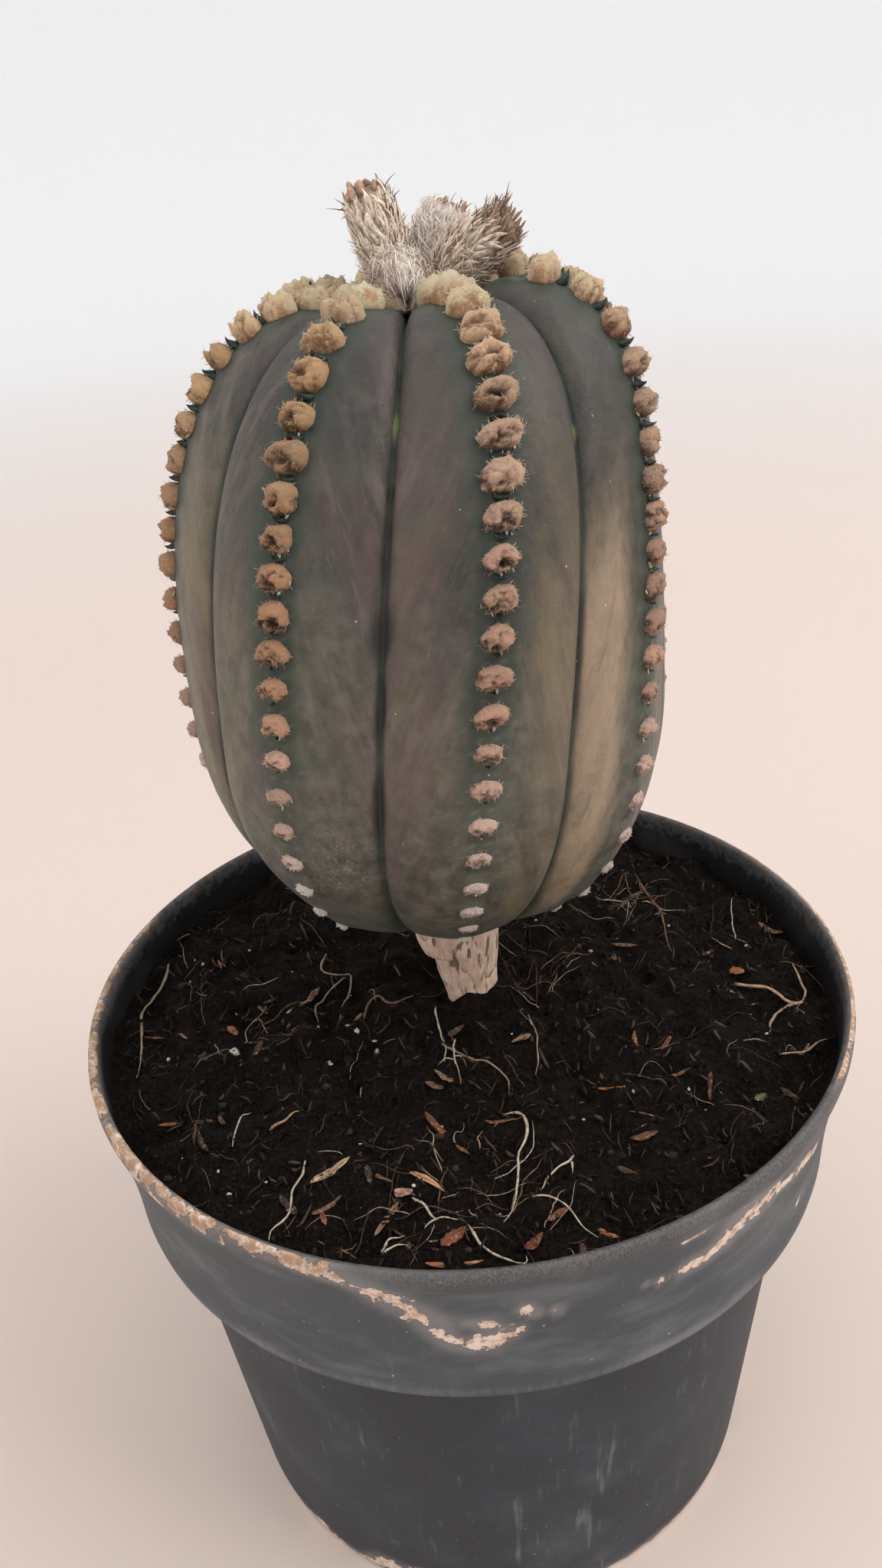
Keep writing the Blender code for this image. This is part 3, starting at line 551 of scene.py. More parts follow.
def wander(x, y, length, stations, curl, draw, spread=math.pi):
    """Flat paths from places on the soil: each heads within a spread of straight back and turns by a random walk."""
    count = len(x)
    heading = math.pi / 2 + draw.uniform(-spread, spread, (count, 1))
    heading = heading + np.cumsum(draw.normal(0, curl, (count, stations)), 1)
    step = (length / (stations - 1))[:, None]
    path_x = x[:, None] + np.cumsum(step * np.cos(heading), 1)
    path_y = y[:, None] + np.cumsum(step * np.sin(heading), 1)
    reach = np.maximum(np.hypot(path_x, path_y) / SOIL_REACH, 1)
    path_x, path_y = path_x / reach, path_y / reach
    return np.stack([path_x, path_y, ground(path_x, path_y)], -1)


thread_x, thread_y = scatter(THREAD_COUNT, draw)
thread_length = 0.0008 + 0.0034 * draw.random(THREAD_COUNT) ** 2
thread_paths = wander(thread_x, thread_y, thread_length, THREAD_STATIONS, 0.20, draw, 1.1)
thread_half = 0.00012 + 0.00030 * draw.random(THREAD_COUNT) ** 3
thread_lift = draw.uniform(-0.00025, 0.0014, (THREAD_COUNT, 2))
lift_share = np.linspace(0, 1, THREAD_STATIONS)
thread_lift = thread_lift[:, :1] * (1 - lift_share) + thread_lift[:, 1:] * lift_share
thread_paths[..., 2] += thread_half[:, None] + thread_lift
thread_wide = thread_half[:, None] * np.array([0.6, 1.1, 1.0, 0.4])
thread_tone = draw.uniform(0, 1.15, (THREAD_COUNT, 1)) ** 2.4
threads = bundle("soil_threads", thread_paths, thread_wide, 0.6, THREAD_SIDES, crumb_finish, tone=thread_tone)
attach(threads, "root")

# Bark chips and grit
# Splinters and flakes of orange-brown bark and pale wood, a few grains of white grit and one scrap of moss, all
# lying loose on the soil where they fell or were watered in.

# Ends as x and y in mm, width in mm, and colour of the chips seen on the near side
SEEN_CHIPS = (
    (-37.7, -2.0, -33.5, 2.1, 1.1, "c9ab78"), (53.2, -0.2, 55.7, -2.8, 0.6, "cfae88"),
    (32.4, -11.9, 32.4, -18.1, 0.8, "8a5c3e"), (39.3, -12.3, 36.8, -16.2, 0.9, "7c5238"),
    (23.6, -28.0, 28.5, -29.1, 0.8, "b0683f"), (37.8, -24.0, 41.2, -24.2, 0.9, "93603f"),
    (44.6, -25.6, 43.5, -31.4, 0.9, "5e3c2c"), (-7.2, -65.7, 2.0, -65.5, 1.0, "b5714c"),
    (20.3, -60.3, 23.6, -61.4, 1.1, "a9623c"), (-26.7, -50.7, -21.0, -43.4, 1.9, "cfae88"),
    (-10.3, -47.1, -4.5, -51.4, 1.2, "d8a27c"), (-13.0, -49.5, -9.8, -51.3, 2.2, "c9a08c"),
    (-12.4, -51.7, -16.0, -58.4, 1.3, "b58a68"), (-8.1, -32.8, -0.1, -43.5, 1.4, "8a5238"),
    (-8.2, -26.2, -4.9, -26.4, 1.6, "7c5a48"), (-49.4, -5.4, -47.2, -7.2, 1.6, "a86a48"),
    (-57.8, -31.5, -54.1, -30.6, 0.9, "a85c3c"), (-4.6, -63.7, -0.7, -60.0, 2.2, "8a5038"),
    (54.6, 6.6, 57.2, 5.0, 2.8, "a5623e"), (-24.6, -55.6, -23.6, -58.2, 1.0, "9a5c40"),
    (2.5, -34.5, 7.8, -35.4, 0.9, "6a4230"), (-66.5, -6.8, -62.4, -6.2, 0.7, "8a5a42"),
    (12.6, -58.6, 15.8, -56.2, 1.5, "8c5236"), (8.4, -62.2, 11.5, -60.4, 1.6, "7c4630"),
    (51.0, -33.2, 53.4, -32.2, 1.6, "66683a"),
)
CHIP_COUNT = 100
CHIP_SIDES = 6
CHIP_STATIONS = 9

draw = np.random.default_rng(5)
chip_x, chip_y = scatter(CHIP_COUNT, draw, 0.010, 0.069)
chip_heading = draw.uniform(0, math.tau, CHIP_COUNT)
chip_length = 0.0012 + 0.0065 * draw.random(CHIP_COUNT) ** 2
chip_half = 0.00018 + 0.0007 * draw.random(CHIP_COUNT) ** 2
chip_length = np.maximum(chip_length, chip_half * 6)
chip_tones = tones("5c4234", "6e4e3a", "463228", "7c5a44", "3a2c26", "9a785c", "544038")
chip_tone = chip_tones[draw.integers(0, len(chip_tones), CHIP_COUNT)]
seen = np.array([row[:5] for row in SEEN_CHIPS]) / 1000
chip_start = np.concatenate([seen[:, :2], np.stack([chip_x, chip_y], -1)])
chip_run = np.concatenate([seen[:, 2:4] - seen[:, :2],
                           np.stack([np.cos(chip_heading), np.sin(chip_heading)], -1) * chip_length[:, None]])
chip_half = np.concatenate([seen[:, 4] / 2, chip_half])
chip_tone = np.concatenate([tones(*(row[5] for row in SEEN_CHIPS)), chip_tone])
chip_count = len(chip_start)
chip_share = np.linspace(0, 1, CHIP_STATIONS)
chip_flat = chip_start[:, None] + chip_run[:, None] * chip_share[:, None]
chip_bow = draw.normal(0, 0.04, (chip_count, 1))
chip_side = np.stack([-chip_run[:, 1], chip_run[:, 0]], -1)
chip_flat = chip_flat + chip_side[:, None] * (chip_bow * 4 * chip_share * (1 - chip_share))[..., None]
chip_floor = ground(chip_flat[..., 0], chip_flat[..., 1])
chip_ends = chip_floor[:, [0, -1]] + draw.uniform(0.0, 0.0006, (chip_count, 2))
chip_height = chip_ends[:, :1] * (1 - chip_share) + chip_ends[:, 1:] * chip_share
chip_height = np.maximum(chip_height, chip_floor.mean(1, keepdims=True)) + chip_half[:, None] * 0.5
chip_paths = np.concatenate([chip_flat, chip_height[..., None]], -1)
chip_taper = np.interp(chip_share, (0, 0.12, 0.45, 0.85, 1), (0.20, 0.75, 1.0, 0.60, 0.06))
chip_rough = 1 + 0.16 * draw.normal(size=(chip_count, CHIP_STATIONS))
chip_wide = chip_half[:, None] * chip_taper * chip_rough
chip_thick = np.minimum(chip_half * 0.40, 0.0005)[:, None] * (0.3 + 0.7 * chip_taper)

bark = Finish("bark_chips", 0.25)
bark_grain = bark.noise(1, 4, 0.7, (60, 2200, 2200), bark.field("grain", "Vector"))
colour = bark.mix(bark_grain.step(0.36, 0.7), bark.field("tone", "Vector"), tint("2a1c16"))
colour = bark.mix(bark.noise(1500, 3).step(0.52, 0.75) * 0.5, colour, tint("d8b890"))
bark.set(colour=colour, roughness=0.82, normal=bark.relief(bark_grain, 0.0003))
chip_points = strands(chip_paths, chip_wide, chip_thick, CHIP_SIDES)
chip_grain = chip_points - chip_points.mean(1, keepdims=True)
chip_way = unit(np.concatenate([chip_run, np.zeros((chip_count, 1))], 1))
chip_grain = np.stack([(chip_grain * chip_way[:, None]).sum(-1) + np.arange(chip_count)[:, None],
                       (chip_grain * np.cross(chip_way, (0, 0, 1))[:, None]).sum(-1), chip_grain[..., 2]], -1)
chips = make_piece("bark_chips", chip_points, closed_faces(CHIP_STATIONS, CHIP_SIDES, chip_count), bark,
                   tone=np.repeat(chip_tone, CHIP_SIDES * CHIP_STATIONS + 2, 0), grain=chip_grain)
chips.data.polygons.foreach_set("use_smooth", np.zeros(len(chips.data.polygons), bool))
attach(chips, "root")

# White and grey grains of grit: x, y and radius in mm
SEEN_GRIT = ((-30.7, -6.1, 0.45), (-24.8, -5.8, 0.4), (-18.5, -12.4, 0.6), (-46.0, -15.1, 1.1), (-46.8, -13.2, 0.8),
             (-27.6, -15.8, 0.35), (-9.6, -49.8, 0.4), (4.6, -54.6, 0.5), (-22.6, -8.8, 0.8), (-60.4, -12.6, 0.7))
GRIT_COUNT = 90
seen_grit = np.array(SEEN_GRIT) / 1000
grit_x, grit_y = scatter(GRIT_COUNT, draw)
grit_radius = np.concatenate([seen_grit[:, 2], 0.00012 + 0.0004 * draw.random(GRIT_COUNT) ** 3])
grit_points, grit_faces = pebbles(np.concatenate([seen_grit[:, 0], grit_x]),
                                  np.concatenate([seen_grit[:, 1], grit_y]), grit_radius, draw)
stone = Finish("pale_grit", 0.5)
stone_noise = stone.noise(1800, 3, 0.6)
stone.set(colour=stone.mix(stone_noise.step(0.35, 0.65), tint("8a7a68"), tint("e0d8cc")), roughness=0.6,
          normal=stone.relief(stone_noise, 0.0002))
grit = make_piece("pale_grit", grit_points, [grit_faces], stone)
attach(grit, "root")

# Rootlets
# Dry roots as fine as thread, tan to nearly white, drawn up with the soil and left kinked and forked on its top.
# A few lean on the wall.

# Thickness in mm, colour, and the points in mm that each one seen on the near side passes
TAN, PALE, BROWN = "a08b76", "cbbba5", "7a5c48"
SEEN_ROOTLETS = (
    (0.7, TAN, (-66, 15.6, -65.8, 11.8, -68.1, 4.5, -68.3, -1.4, -66.6, -7.1, -64.4, -19.8)),
    (0.3, TAN, (-64.6, 33.4, -67.5, 28.8, -69.5, 25.5)),
    (0.5, TAN, (-31.3, 17.8, -32.7, 12.5, -29.8, 9.6, -26.5, 9.9, -25.3, 12, -25.2, 6.4, -26.7, 1.3, -26.6, -3.6)),
    (0.5, TAN, (-26.5, 9.9, -30, 4.9, -32, 0, -31.2, -4.9)),
    (0.6, BROWN, (-21.7, -2.7, -21.6, 0.3, -19.8, 2.1, -18.1, 0, -16, -4, -13, -0.3, -10.3, 2.4)),
    (0.45, PALE, (-29.1, -42.6, -29.1, -46.8, -30.3, -50.1, -30.1, -53.4, -31, -56.5, -33.1, -57.6, -33.4, -60.7)),
    (0.4, PALE, (-7, -2.7, -6.3, -8.5, -4.7, -14, -4.9, -19.2)),
    (0.4, PALE, (-3, -10.4, -3.2, -15.8, -2, -24)),
    (0.4, PALE, (-3.2, -15.8, -1.2, -16.2, 0.9, -18.7)),
    (0.55, TAN, (-5.4, -13, -3, -15, -0.4, -16.9, 1.3, -19.6, 3.7, -19.4, 6, -22.5, 7.5, -25.8, 7.2, -28.2)),
    (0.4, TAN, (11.8, -6.9, 13, -12.4, 13, -18.6, 12.4, -23.6)),
    (0.5, PALE, (6.2, -32, 8.4, -32.5, 9.9, -35.3, 10.2, -39.8, 8.5, -43.2, 7.8, -46.6, 8.2, -50, 7.3, -53.9,
                 5.4, -58.2)),
    (0.5, PALE, (17.8, -44.1, 16.6, -46.7, 14.5, -47.6, 12.8, -48.6, 11.6, -51.5)),
    (0.4, PALE, (17.2, -46, 17.2, -48.8)),
    (0.35, PALE, (10, -53.4, 13, -54.5, 15.9, -56.2, 18.5, -59.9, 20.1, -62.1)),
    (0.9, "c0a07c", (54, 2.3, 57.3, 0.5, 61.2, -1.2, 63.1, -3.8, 64.2, -6.8, 66.8, -5.5, 67.9, -3.7, 67.5, 0.8,
                     67.1, 5.4)),
    (0.7, TAN, (64.2, -6.8, 60.2, -8.4, 58.1, -13.6)),
    (0.6, BROWN, (39.9, 38.8, 41.7, 33.7, 43, 28.6, 42.9, 23.2, 42.8, 16.4, 43.6, 13)),
    (0.35, TAN, (52.7, -15.9, 55.1, -15.6, 56.9, -17.5)),
    (0.5, TAN, (58.5, -20.7, 63, -20.5, 68.3, -18.7)),
    (0.5, PALE, (-0.6, -58.5, 0.6, -61.6, 2.8, -64, 7.1, -65.1, 8.8, -64.6, 8.6, -63)),
    (0.6, "b58a68", (-36.4, -34.6, -33.6, -34.6, -31.1, -32.6)),
    (0.35, PALE, (-42.8, -38, -41.7, -34.6, -41, -29.3)),
    (0.4, PALE, (-14.6, -62.1, -13.6, -59.7, -11.1, -58)),
    (0.4, PALE, (-14.3, -63.3, -12.4, -62.1, -9.9, -61.7)),
    (0.35, PALE, (-7.6, -58.2, -4.8, -57.5, -2.2, -57.5)),
    (0.5, PALE, (-9.8, -51.8, -7.2, -54.5, -5.4, -57.7)),
)
ROOTLET_STATIONS = 20
ROOTLET_SIDES = 4
LOOSE_ROOTLETS = 260
# Tangles of fine fibre: x, y and radius in mm, and how many of the loose rootlets lie there
TANGLES = ((36.4, 31.8, 6, 34), (3.2, -51.0, 9, 22), (14.0, 4.0, 8, 16), (-9.0, -54.0, 7, 14))


def even_route(route, stations):
    """Flat points through a route at even shares of its length, softened by a running mean of three."""
    points = np.array(route, float).reshape(-1, 2) / 1000
    length = np.concatenate([[0], np.cumsum(np.linalg.norm(np.diff(points, axis=0), axis=1))])
    places = np.linspace(0, length[-1], stations)
    even = np.stack([np.interp(places, length, points[:, axis]) for axis in (0, 1)], -1)
    soft = even.copy()
    soft[1:-1] = (even[:-2] + even[1:-1] + even[2:]) / 3
    return soft


draw = np.random.default_rng(8)
seen_flat = np.array([even_route(route, ROOTLET_STATIONS) for _, _, route in SEEN_ROOTLETS])
seen_half = np.array([thickness for thickness, _, _ in SEEN_ROOTLETS]) / 2000
seen_tone = tones(*(colour for _, colour, _ in SEEN_ROOTLETS))
seen_flat += 0.0003 * np.stack([lumps(np.stack([seen_flat[..., 0], seen_flat[..., 1], 0 * seen_flat[..., 0]], -1),
                                      0.0022, seed) for seed in (31, 32)], -1)
seen_paths = np.concatenate([seen_flat, ground(seen_flat[..., 0], seen_flat[..., 1])[..., None]], -1)
loose_x, loose_y = scatter(LOOSE_ROOTLETS, draw)
first = 0
for tangle_x, tangle_y, tangle_radius, members in TANGLES:
    loose_x[first:first + members] = (tangle_x + draw.normal(0, tangle_radius / 2, members)) / 1000
    loose_y[first:first + members] = (tangle_y + draw.normal(0, tangle_radius / 2, members)) / 1000
    first += members
loose_length = 0.003 + 0.011 * draw.random(LOOSE_ROOTLETS) ** 2
loose_paths = wander(loose_x, loose_y, loose_length, ROOTLET_STATIONS, 0.15, draw, 1.6)
loose_half = 0.00005 + 0.00010 * draw.random(LOOSE_ROOTLETS) ** 2
loose_tones = tones(TAN, BROWN, "5c4638", PALE, "4a382e")
loose_tone = loose_tones[draw.choice(5, LOOSE_ROOTLETS, p=(0.22, 0.28, 0.22, 0.10, 0.18))]
root_paths = np.concatenate([seen_paths, loose_paths])
root_half = np.concatenate([seen_half, loose_half])
root_tone = np.concatenate([seen_tone, loose_tone])
root_count = len(root_paths)
smooth_height = root_paths[..., 2].copy()
for _ in range(5):
    smooth_height[:, 1:-1] = (smooth_height[:, :-2] + smooth_height[:, 1:-1] + smooth_height[:, 2:]) / 3
rise = draw.uniform(0.0001, 0.0009, (root_count, 1)) * np.sin(math.pi * np.linspace(0, 1, ROOTLET_STATIONS))
root_paths[..., 2] = smooth_height + root_half[:, None] + rise + 0.0003
root_taper = np.interp(np.linspace(0, 1, ROOTLET_STATIONS), (0, 0.1, 0.7, 1), (0.7, 1, 0.8, 0.25))
root_knots = 1 + 0.18 * draw.normal(size=(root_count, ROOTLET_STATIONS))
root_wide = root_half[:, None] * root_taper * root_knots
dry_root = Finish("dry_rootlets", 0.3)
root_noise = dry_root.noise(1300, 3, 0.6)
dry_root.set(colour=dry_root.mix(root_noise.step(0.45, 0.7) * 0.65, dry_root.field("tone", "Vector"), tint("4e3a2e")),
             roughness=0.75, normal=dry_root.relief(root_noise, 0.0001))
rootlets = bundle("rootlets", root_paths, root_wide, 1, ROOTLET_SIDES, dry_root, tone=root_tone)
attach(rootlets, "root")

# Corky neck
# The bare foot of the plant: a bent woody neck clad in tan cork that has split into upright plates, stepped on its
# left and drawn in at the soil, with the taproot below it.
NECK_FOOT = np.array((0.0005, 0.0052, SOIL_LEVEL))
NECK_HEAD = np.array((-0.0024, 0.0064, 0.1300 - SEAT_GAP))
ROOT_DEPTH = 0.040
ROOT_STATIONS = ((-1.0, 0.0012), (-0.70, 0.0026), (-0.30, 0.0042), (0.0, 0.0052), (0.15, 0.0056), (0.30, 0.0064),
                 (0.65, 0.0080), (1.0, 0.0090))
NECK_ROWS = 116
NECK_COLUMNS = 100
neck_share = np.linspace(-1, 1, NECK_ROWS)[:, None]
neck_turn = even_turn(NECK_COLUMNS)
neck_radius = np.interp(neck_share, *zip(*ROOT_STATIONS))
neck_centre = NECK_FOOT + np.clip(neck_share, 0, 1)[..., None] * (NECK_HEAD - NECK_FOOT)
neck_centre = neck_centre + np.minimum(neck_share, 0)[..., None] * np.array([0.001, 0, ROOT_DEPTH])
plate = turned(2.6, neck_turn, np.where(neck_share > 0, neck_share * 22.8, neck_share * 40) * 0.09)
split = np.abs(lumps(plate, 1.0, 41))
broad = lumps(plate, 1.9, 42)
fine_split = np.abs(lumps(plate * np.array([2.6, 2.6, 1.6]), 1.0, 43))
left_step = bell(np.angle(np.exp(1j * (neck_turn - math.radians(205)))), 0.75)
left_step = left_step * (0.0011 * (neck_share > 0.52) - 0.0006 * bell(neck_share - 0.42, 0.12))
neck_radius = neck_radius + 0.0005 * broad - 0.0004 * bell(split, 0.07)
neck_radius = np.maximum(neck_radius - 0.0002 * bell(fine_split, 0.08) + left_step, 0.0008)
neck_points = neck_centre + turned(neck_radius, neck_turn, 0.0)
neck_ends = np.stack([neck_centre[0, 0], neck_centre[-1, 0]])
crack = bell(split, 0.06) + 0.5 * bell(fine_split, 0.06)
cork = Finish("tan_cork", 0.25)
cork_grain = cork.noise(900, 5, 0.7, (1, 1, 0.25))
cork_cells = cork.cells(900, (1, 1, 0.45))
colour = cork.mix(cork_grain.step(0.3, 0.72), tint("e0b296"), tint("ffe6d4"))
cork_cracks = cork.noise(620, 3, 0.55, (1, 1, 0.16))
colour = cork.mix(cork_cracks.step(0.57, 0.65) * 0.75, colour, tint("543c2e"))
colour = cork.mix((cork.field("crack") + (cork_grain - 0.5)).step(0.55, 1.05) * 0.85, colour, tint("6b4f3c"))
cork.set(colour=colour, roughness=0.9,
         normal=cork.relief(cork_grain * 0.5 + cork_cells * 0.3 - cork_cracks.step(0.58, 0.68), 0.0005))
neck = make_piece("corky_neck", np.concatenate([neck_points.reshape(-1, 3), neck_ends]),
                  closed_faces(NECK_ROWS, NECK_COLUMNS), cork, crack=np.concatenate([crack.ravel(), [0, 0]]))
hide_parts("root_neck")
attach(neck, "root")

# Stem
# The living body: eight broad ribs with sharp furrows between them, leaning and twisting slightly. Its skin is a
# satin grey-green, dark green round the areoles and along the furrows, streaked purple-brown where it ages, with
# faint chevrons that fan down from each areole. Painted shadow rings each pad, painted shade darkens the furrows'
# creases, the chevrons carry a painted highlight, and flanks by the left and right edges are partly painted sheen.
STEM_RADIUS = 0.0437
STEM_BOTTOM = 0.1300
STEM_WIDEST = 0.1748
STEM_TOP = 0.2461
LOWER_ROUNDNESS = 2.25
UPPER_ROUNDNESS = 3.0
CROWN_DIP = 0.007
CROWN_DIP_RADIUS = 0.0157
STEM_FOOT = (-0.0026, 0.0052, SOIL_LEVEL)
STEM_LEAN = (0.0077, 0.051)
STEM_BOW = -0.0013
CROWN_TILT = (0.0415, 0.0201)
RIB_COUNT = 8
CREST_AZIMUTHS = np.radians([-83.0, -31.8, 12.5, 55.9, 100.2, 144.4, 188.6, 232.8, 277.0])
CREST_TWISTS = np.array([2.9, 1.9, 2.9, 3.4, 2.8, 2.8, 2.8, 2.8, 2.9])
CREST_SWELLS = np.array([0.0, 0.0, 0.0, 0.0020, 0.0010, 0.0, 0.0, 0.0, 0.0])
SWELL_ARC = 0.034
SWELL_REACH = 0.016
RIB_SAG = 0.0011
FURROW_DEPTH = 0.0021
CROWN_FURROW_EXTRA = 0.0022
CROWN_FURROW_REACH = 0.035
FURROW_SHARE = 0.075
FURROW_FADE_RADIUS = 0.005
SLOPE_STEP = 0.0006
STEM_ROWS = 270
RIB_COLUMNS = 38

bend = np.linspace(0.0, math.pi / 2, 300)
upper_radius = STEM_RADIUS * np.sin(bend) ** (2 / UPPER_ROUNDNESS)
upper_height = STEM_WIDEST + (STEM_TOP - STEM_WIDEST) * np.cos(bend) ** (2 / UPPER_ROUNDNESS)
upper_height = upper_height - CROWN_DIP * bell(upper_radius, CROWN_DIP_RADIUS)
lower_radius = STEM_RADIUS * np.cos(bend[1:]) ** (2 / LOWER_ROUNDNESS)
lower_height = STEM_WIDEST - (STEM_WIDEST - STEM_BOTTOM) * np.sin(bend[1:]) ** (2 / LOWER_ROUNDNESS)
meridian_radius = np.concatenate([upper_radius, lower_radius])
meridian_radius[[0, -1]] = 0.0
meridian_height = np.concatenate([upper_height, lower_height])
meridian_arc = np.concatenate([[0.0], np.cumsum(np.hypot(np.diff(meridian_radius), np.diff(meridian_height)))])
STEM_ARC = float(meridian_arc[-1])


def skin(arc, rib, lift=0.0):
    """Points of the stem's skin for an arc from the crown and a place in ribs, whole numbers being crests.

    The meridian is two quarter superellipses with a sunk crown. Along its outward normal go the lift, a sag between
    crests (sine squared), a furrow (a bell and a cusp about the half) and a swelling (a bell about one arc). The
    azimuth runs evenly between two crests, which twist with height, and the whole leans, bows and tilts."""
    arc = np.clip(arc, 0.0, STEM_ARC)
    before, after = np.maximum(arc - SLOPE_STEP, 0), np.minimum(arc + SLOPE_STEP, STEM_ARC)
    radius, height = (np.interp(arc, meridian_arc, line) for line in (meridian_radius, meridian_height))
    fall_r = np.interp(after, meridian_arc, meridian_radius) - np.interp(before, meridian_arc, meridian_radius)
    fall_z = np.interp(after, meridian_arc, meridian_height) - np.interp(before, meridian_arc, meridian_height)
    length = np.hypot(fall_r, fall_z)
    first = np.floor(rib).astype(int) % RIB_COUNT
    share = rib - np.floor(rib)
    off = np.abs(share - 0.5) / FURROW_SHARE
    groove = FURROW_DEPTH + CROWN_FURROW_EXTRA * bell(arc, CROWN_FURROW_REACH)
    depth = RIB_SAG * np.sin(math.pi * share) ** 2 + groove * (0.35 * np.exp(-off ** 2) + 0.65 * np.exp(-off * 2.8))
    depth = depth * radius / (radius + FURROW_FADE_RADIUS)
    ease = share * share * (3 - 2 * share)
    swell = CREST_SWELLS[first] * (1 - ease) + CREST_SWELLS[first + 1] * ease
    rise = lift - depth + swell * bell(arc - SWELL_ARC, SWELL_REACH)
    radius = radius - rise * fall_z / length
    height = height + rise * fall_r / length
    above = height - STEM_WIDEST
    start = CREST_AZIMUTHS[first] + CREST_TWISTS[first] * above
    azimuth = start + (CREST_AZIMUTHS[first + 1] + CREST_TWISTS[first + 1] * above - start) * share
    across, away = radius * np.sin(azimuth), -radius * np.cos(azimuth)
    upper = np.clip(above / (STEM_TOP - STEM_WIDEST), 0, 1)
    climb = np.clip((height - STEM_BOTTOM) / (STEM_TOP - STEM_BOTTOM), 0, 1)
    over_soil = height - STEM_FOOT[2]
    x = STEM_FOOT[0] + STEM_LEAN[0] * over_soil + STEM_BOW * np.sin(math.pi * climb) + across
    y = STEM_FOOT[1] + STEM_LEAN[1] * over_soil + away
    return np.stack([x, y, height + upper ** 2 * (CROWN_TILT[0] * across + CROWN_TILT[1] * away)], -1)


def skin_frame(arc, rib):
    """A point of the skin with its sideways, downwards and outwards directions."""
    point = skin(arc, rib)
    sideways = unit(skin(arc, rib + 0.02) - skin(arc, rib - 0.02))
    down = unit(skin(arc + 0.001, rib) - skin(arc - 0.001, rib))
    return point, sideways, down, unit(np.cross(down, sideways))


# Each rib's arc to its nth areole: the factors of the powers of n, from the power 0 up
AREOLE_RUNS = (
    (0.00572, 0.005306, 0.0000411, 0.0), (0.00265, 0.006932, -0.0001337, 0.00000485),
    (0.00362, 0.004939, 0.0000334, 0.0), (0.00090, 0.007949, -0.0002502, 0.00000801),
    (0.00730, 0.005400, 0.0000300, 0.0), (0.00590, 0.005650, 0.0000220, 0.0),
    (0.00660, 0.005300, 0.0000380, 0.0), (0.00430, 0.005700, 0.0000200, 0.0))
FIRST_AREOLE = 0.005
LAST_AREOLE = 0.141
number = np.arange(40.0)
rib_arcs = [sum(part * number ** power for power, part in enumerate(run)) for run in AREOLE_RUNS]
rib_arcs = [arcs[(arcs > FIRST_AREOLE) & (arcs < LAST_AREOLE)] for arcs in rib_arcs]
areole_arc = np.concatenate(rib_arcs)
areole_rib = np.concatenate([np.full(len(arcs), float(rib)) for rib, arcs in enumerate(rib_arcs)])

even = np.arange(RIB_COLUMNS) / RIB_COLUMNS
rib_shares = even + 0.085 * np.sin(math.tau * even)
stem_arc = STEM_ARC * (1 - (np.arange(STEM_ROWS)[:, None] + 0.5) / STEM_ROWS)
stem_rib = (np.arange(RIB_COUNT)[:, None] + rib_shares).ravel()[None]
stem_share = stem_rib % 1
off_crest = np.minimum(stem_share, 1 - stem_share)
arc_grid, rib_grid = np.broadcast_arrays(stem_arc, stem_rib)
stem_girth = np.interp(arc_grid, meridian_arc, meridian_radius) * math.tau / RIB_COUNT
crest_gap = off_crest * stem_girth
furrow_gap = (0.5 - off_crest) * stem_girth
nearest = np.full(arc_grid.shape, 1.0)
below_areole = np.zeros(arc_grid.shape)
chevron = np.zeros(arc_grid.shape)
for rib, arcs in enumerate(rib_arcs):
    columns = np.round(stem_rib[0]).astype(int) % RIB_COUNT == rib
    gap = crest_gap[:, columns][..., None]
    drop = arc_grid[:, columns][..., None] - arcs
    nearest[:, columns] = np.hypot(gap, drop).min(-1)
    below_areole[:, columns] = np.exp(-((drop - 0.0036) / 0.0010) ** 2 - (gap / 0.0015) ** 2).sum(-1)
    line = drop - 1.5 * gap - 0.0015
    chevron[:, columns] = (bell(line, 0.00045) * bell(gap, 0.008)).sum(-1)
chevron = chevron * np.interp(arc_grid, (0.03, 0.06, 0.11, 0.14), (0.25, 0.7, 1, 0.3))
crest_bump = 0.0005 * bell(nearest, 0.0026) - 0.0004 * np.minimum(below_areole, 1)
stem_points = skin(arc_grid, rib_grid, crest_bump + 0.00007 * np.minimum(chevron, 1))
stem_ends = np.stack([skin(np.array(STEM_ARC), np.array(0.0)), skin(np.array(0.0), np.array(0.0))])

# How olive, purple, tan and pale each flank is, from the right of the first crest round to the left of it. The tan
# and pale either side of the fourth crest and the olive and tan right of the first, flanks turned towards the sides,
# are partly the skin's own colour and partly painted sheen.
FLANK_OLIVE = np.array([0.80, 0.50, 0.15, 0.45, 0.85, 0.40, 0.10, 0.30, 0.5, 0.3, 0.6, 0.4, 0.2, 0.5, 0.3, 0.6])
FLANK_PURPLE = np.array([0.35, 0.55, 0.50, 0.75, 0.55, 0.30, 0.40, 0.50, 0.4, 0.6, 0.5, 0.5, 0.6, 0.3, 0.5, 0.4])
FLANK_TAN = np.array([0.30, 0.0, 0.0, 0.0, 0.0, 1.0, 0.3, 0.0, 0.4, 0.0, 0.5, 0.2, 0.0, 0.5, 0.0, 0.2])
FLANK_PALE = np.array([0.25, 0.20, 0.10, 0.10, 0.25, 0.20, 0.65, 0.30, 0.2, 0.2, 0.1, 0.3, 0.2, 0.2, 0.3, 0.2])
flank = (2 * np.floor(rib_grid) + (rib_grid % 1 > 0.5)).astype(int) % (2 * RIB_COUNT)
slant = furrow_gap + 0.33 * arc_grid
round_stem = 0.004 * np.sin(math.tau * rib_grid / RIB_COUNT)
streak_way = np.stack([slant, arc_grid, round_stem], -1)
streak_place = np.stack([slant / 0.0034, arc_grid / 0.045, flank * 7.3], -1)
streak = lumps(streak_place, 1.0, 51)
fine_streak = lumps(streak_place * np.array([3.1, 1.6, 1]), 1.0, 52)
patch = lumps(np.stack([slant / 0.011, arc_grid / 0.030, flank * 3.1], -1), 1.0, 53)
flank_place = crest_gap / (crest_gap + furrow_gap + 1e-6)
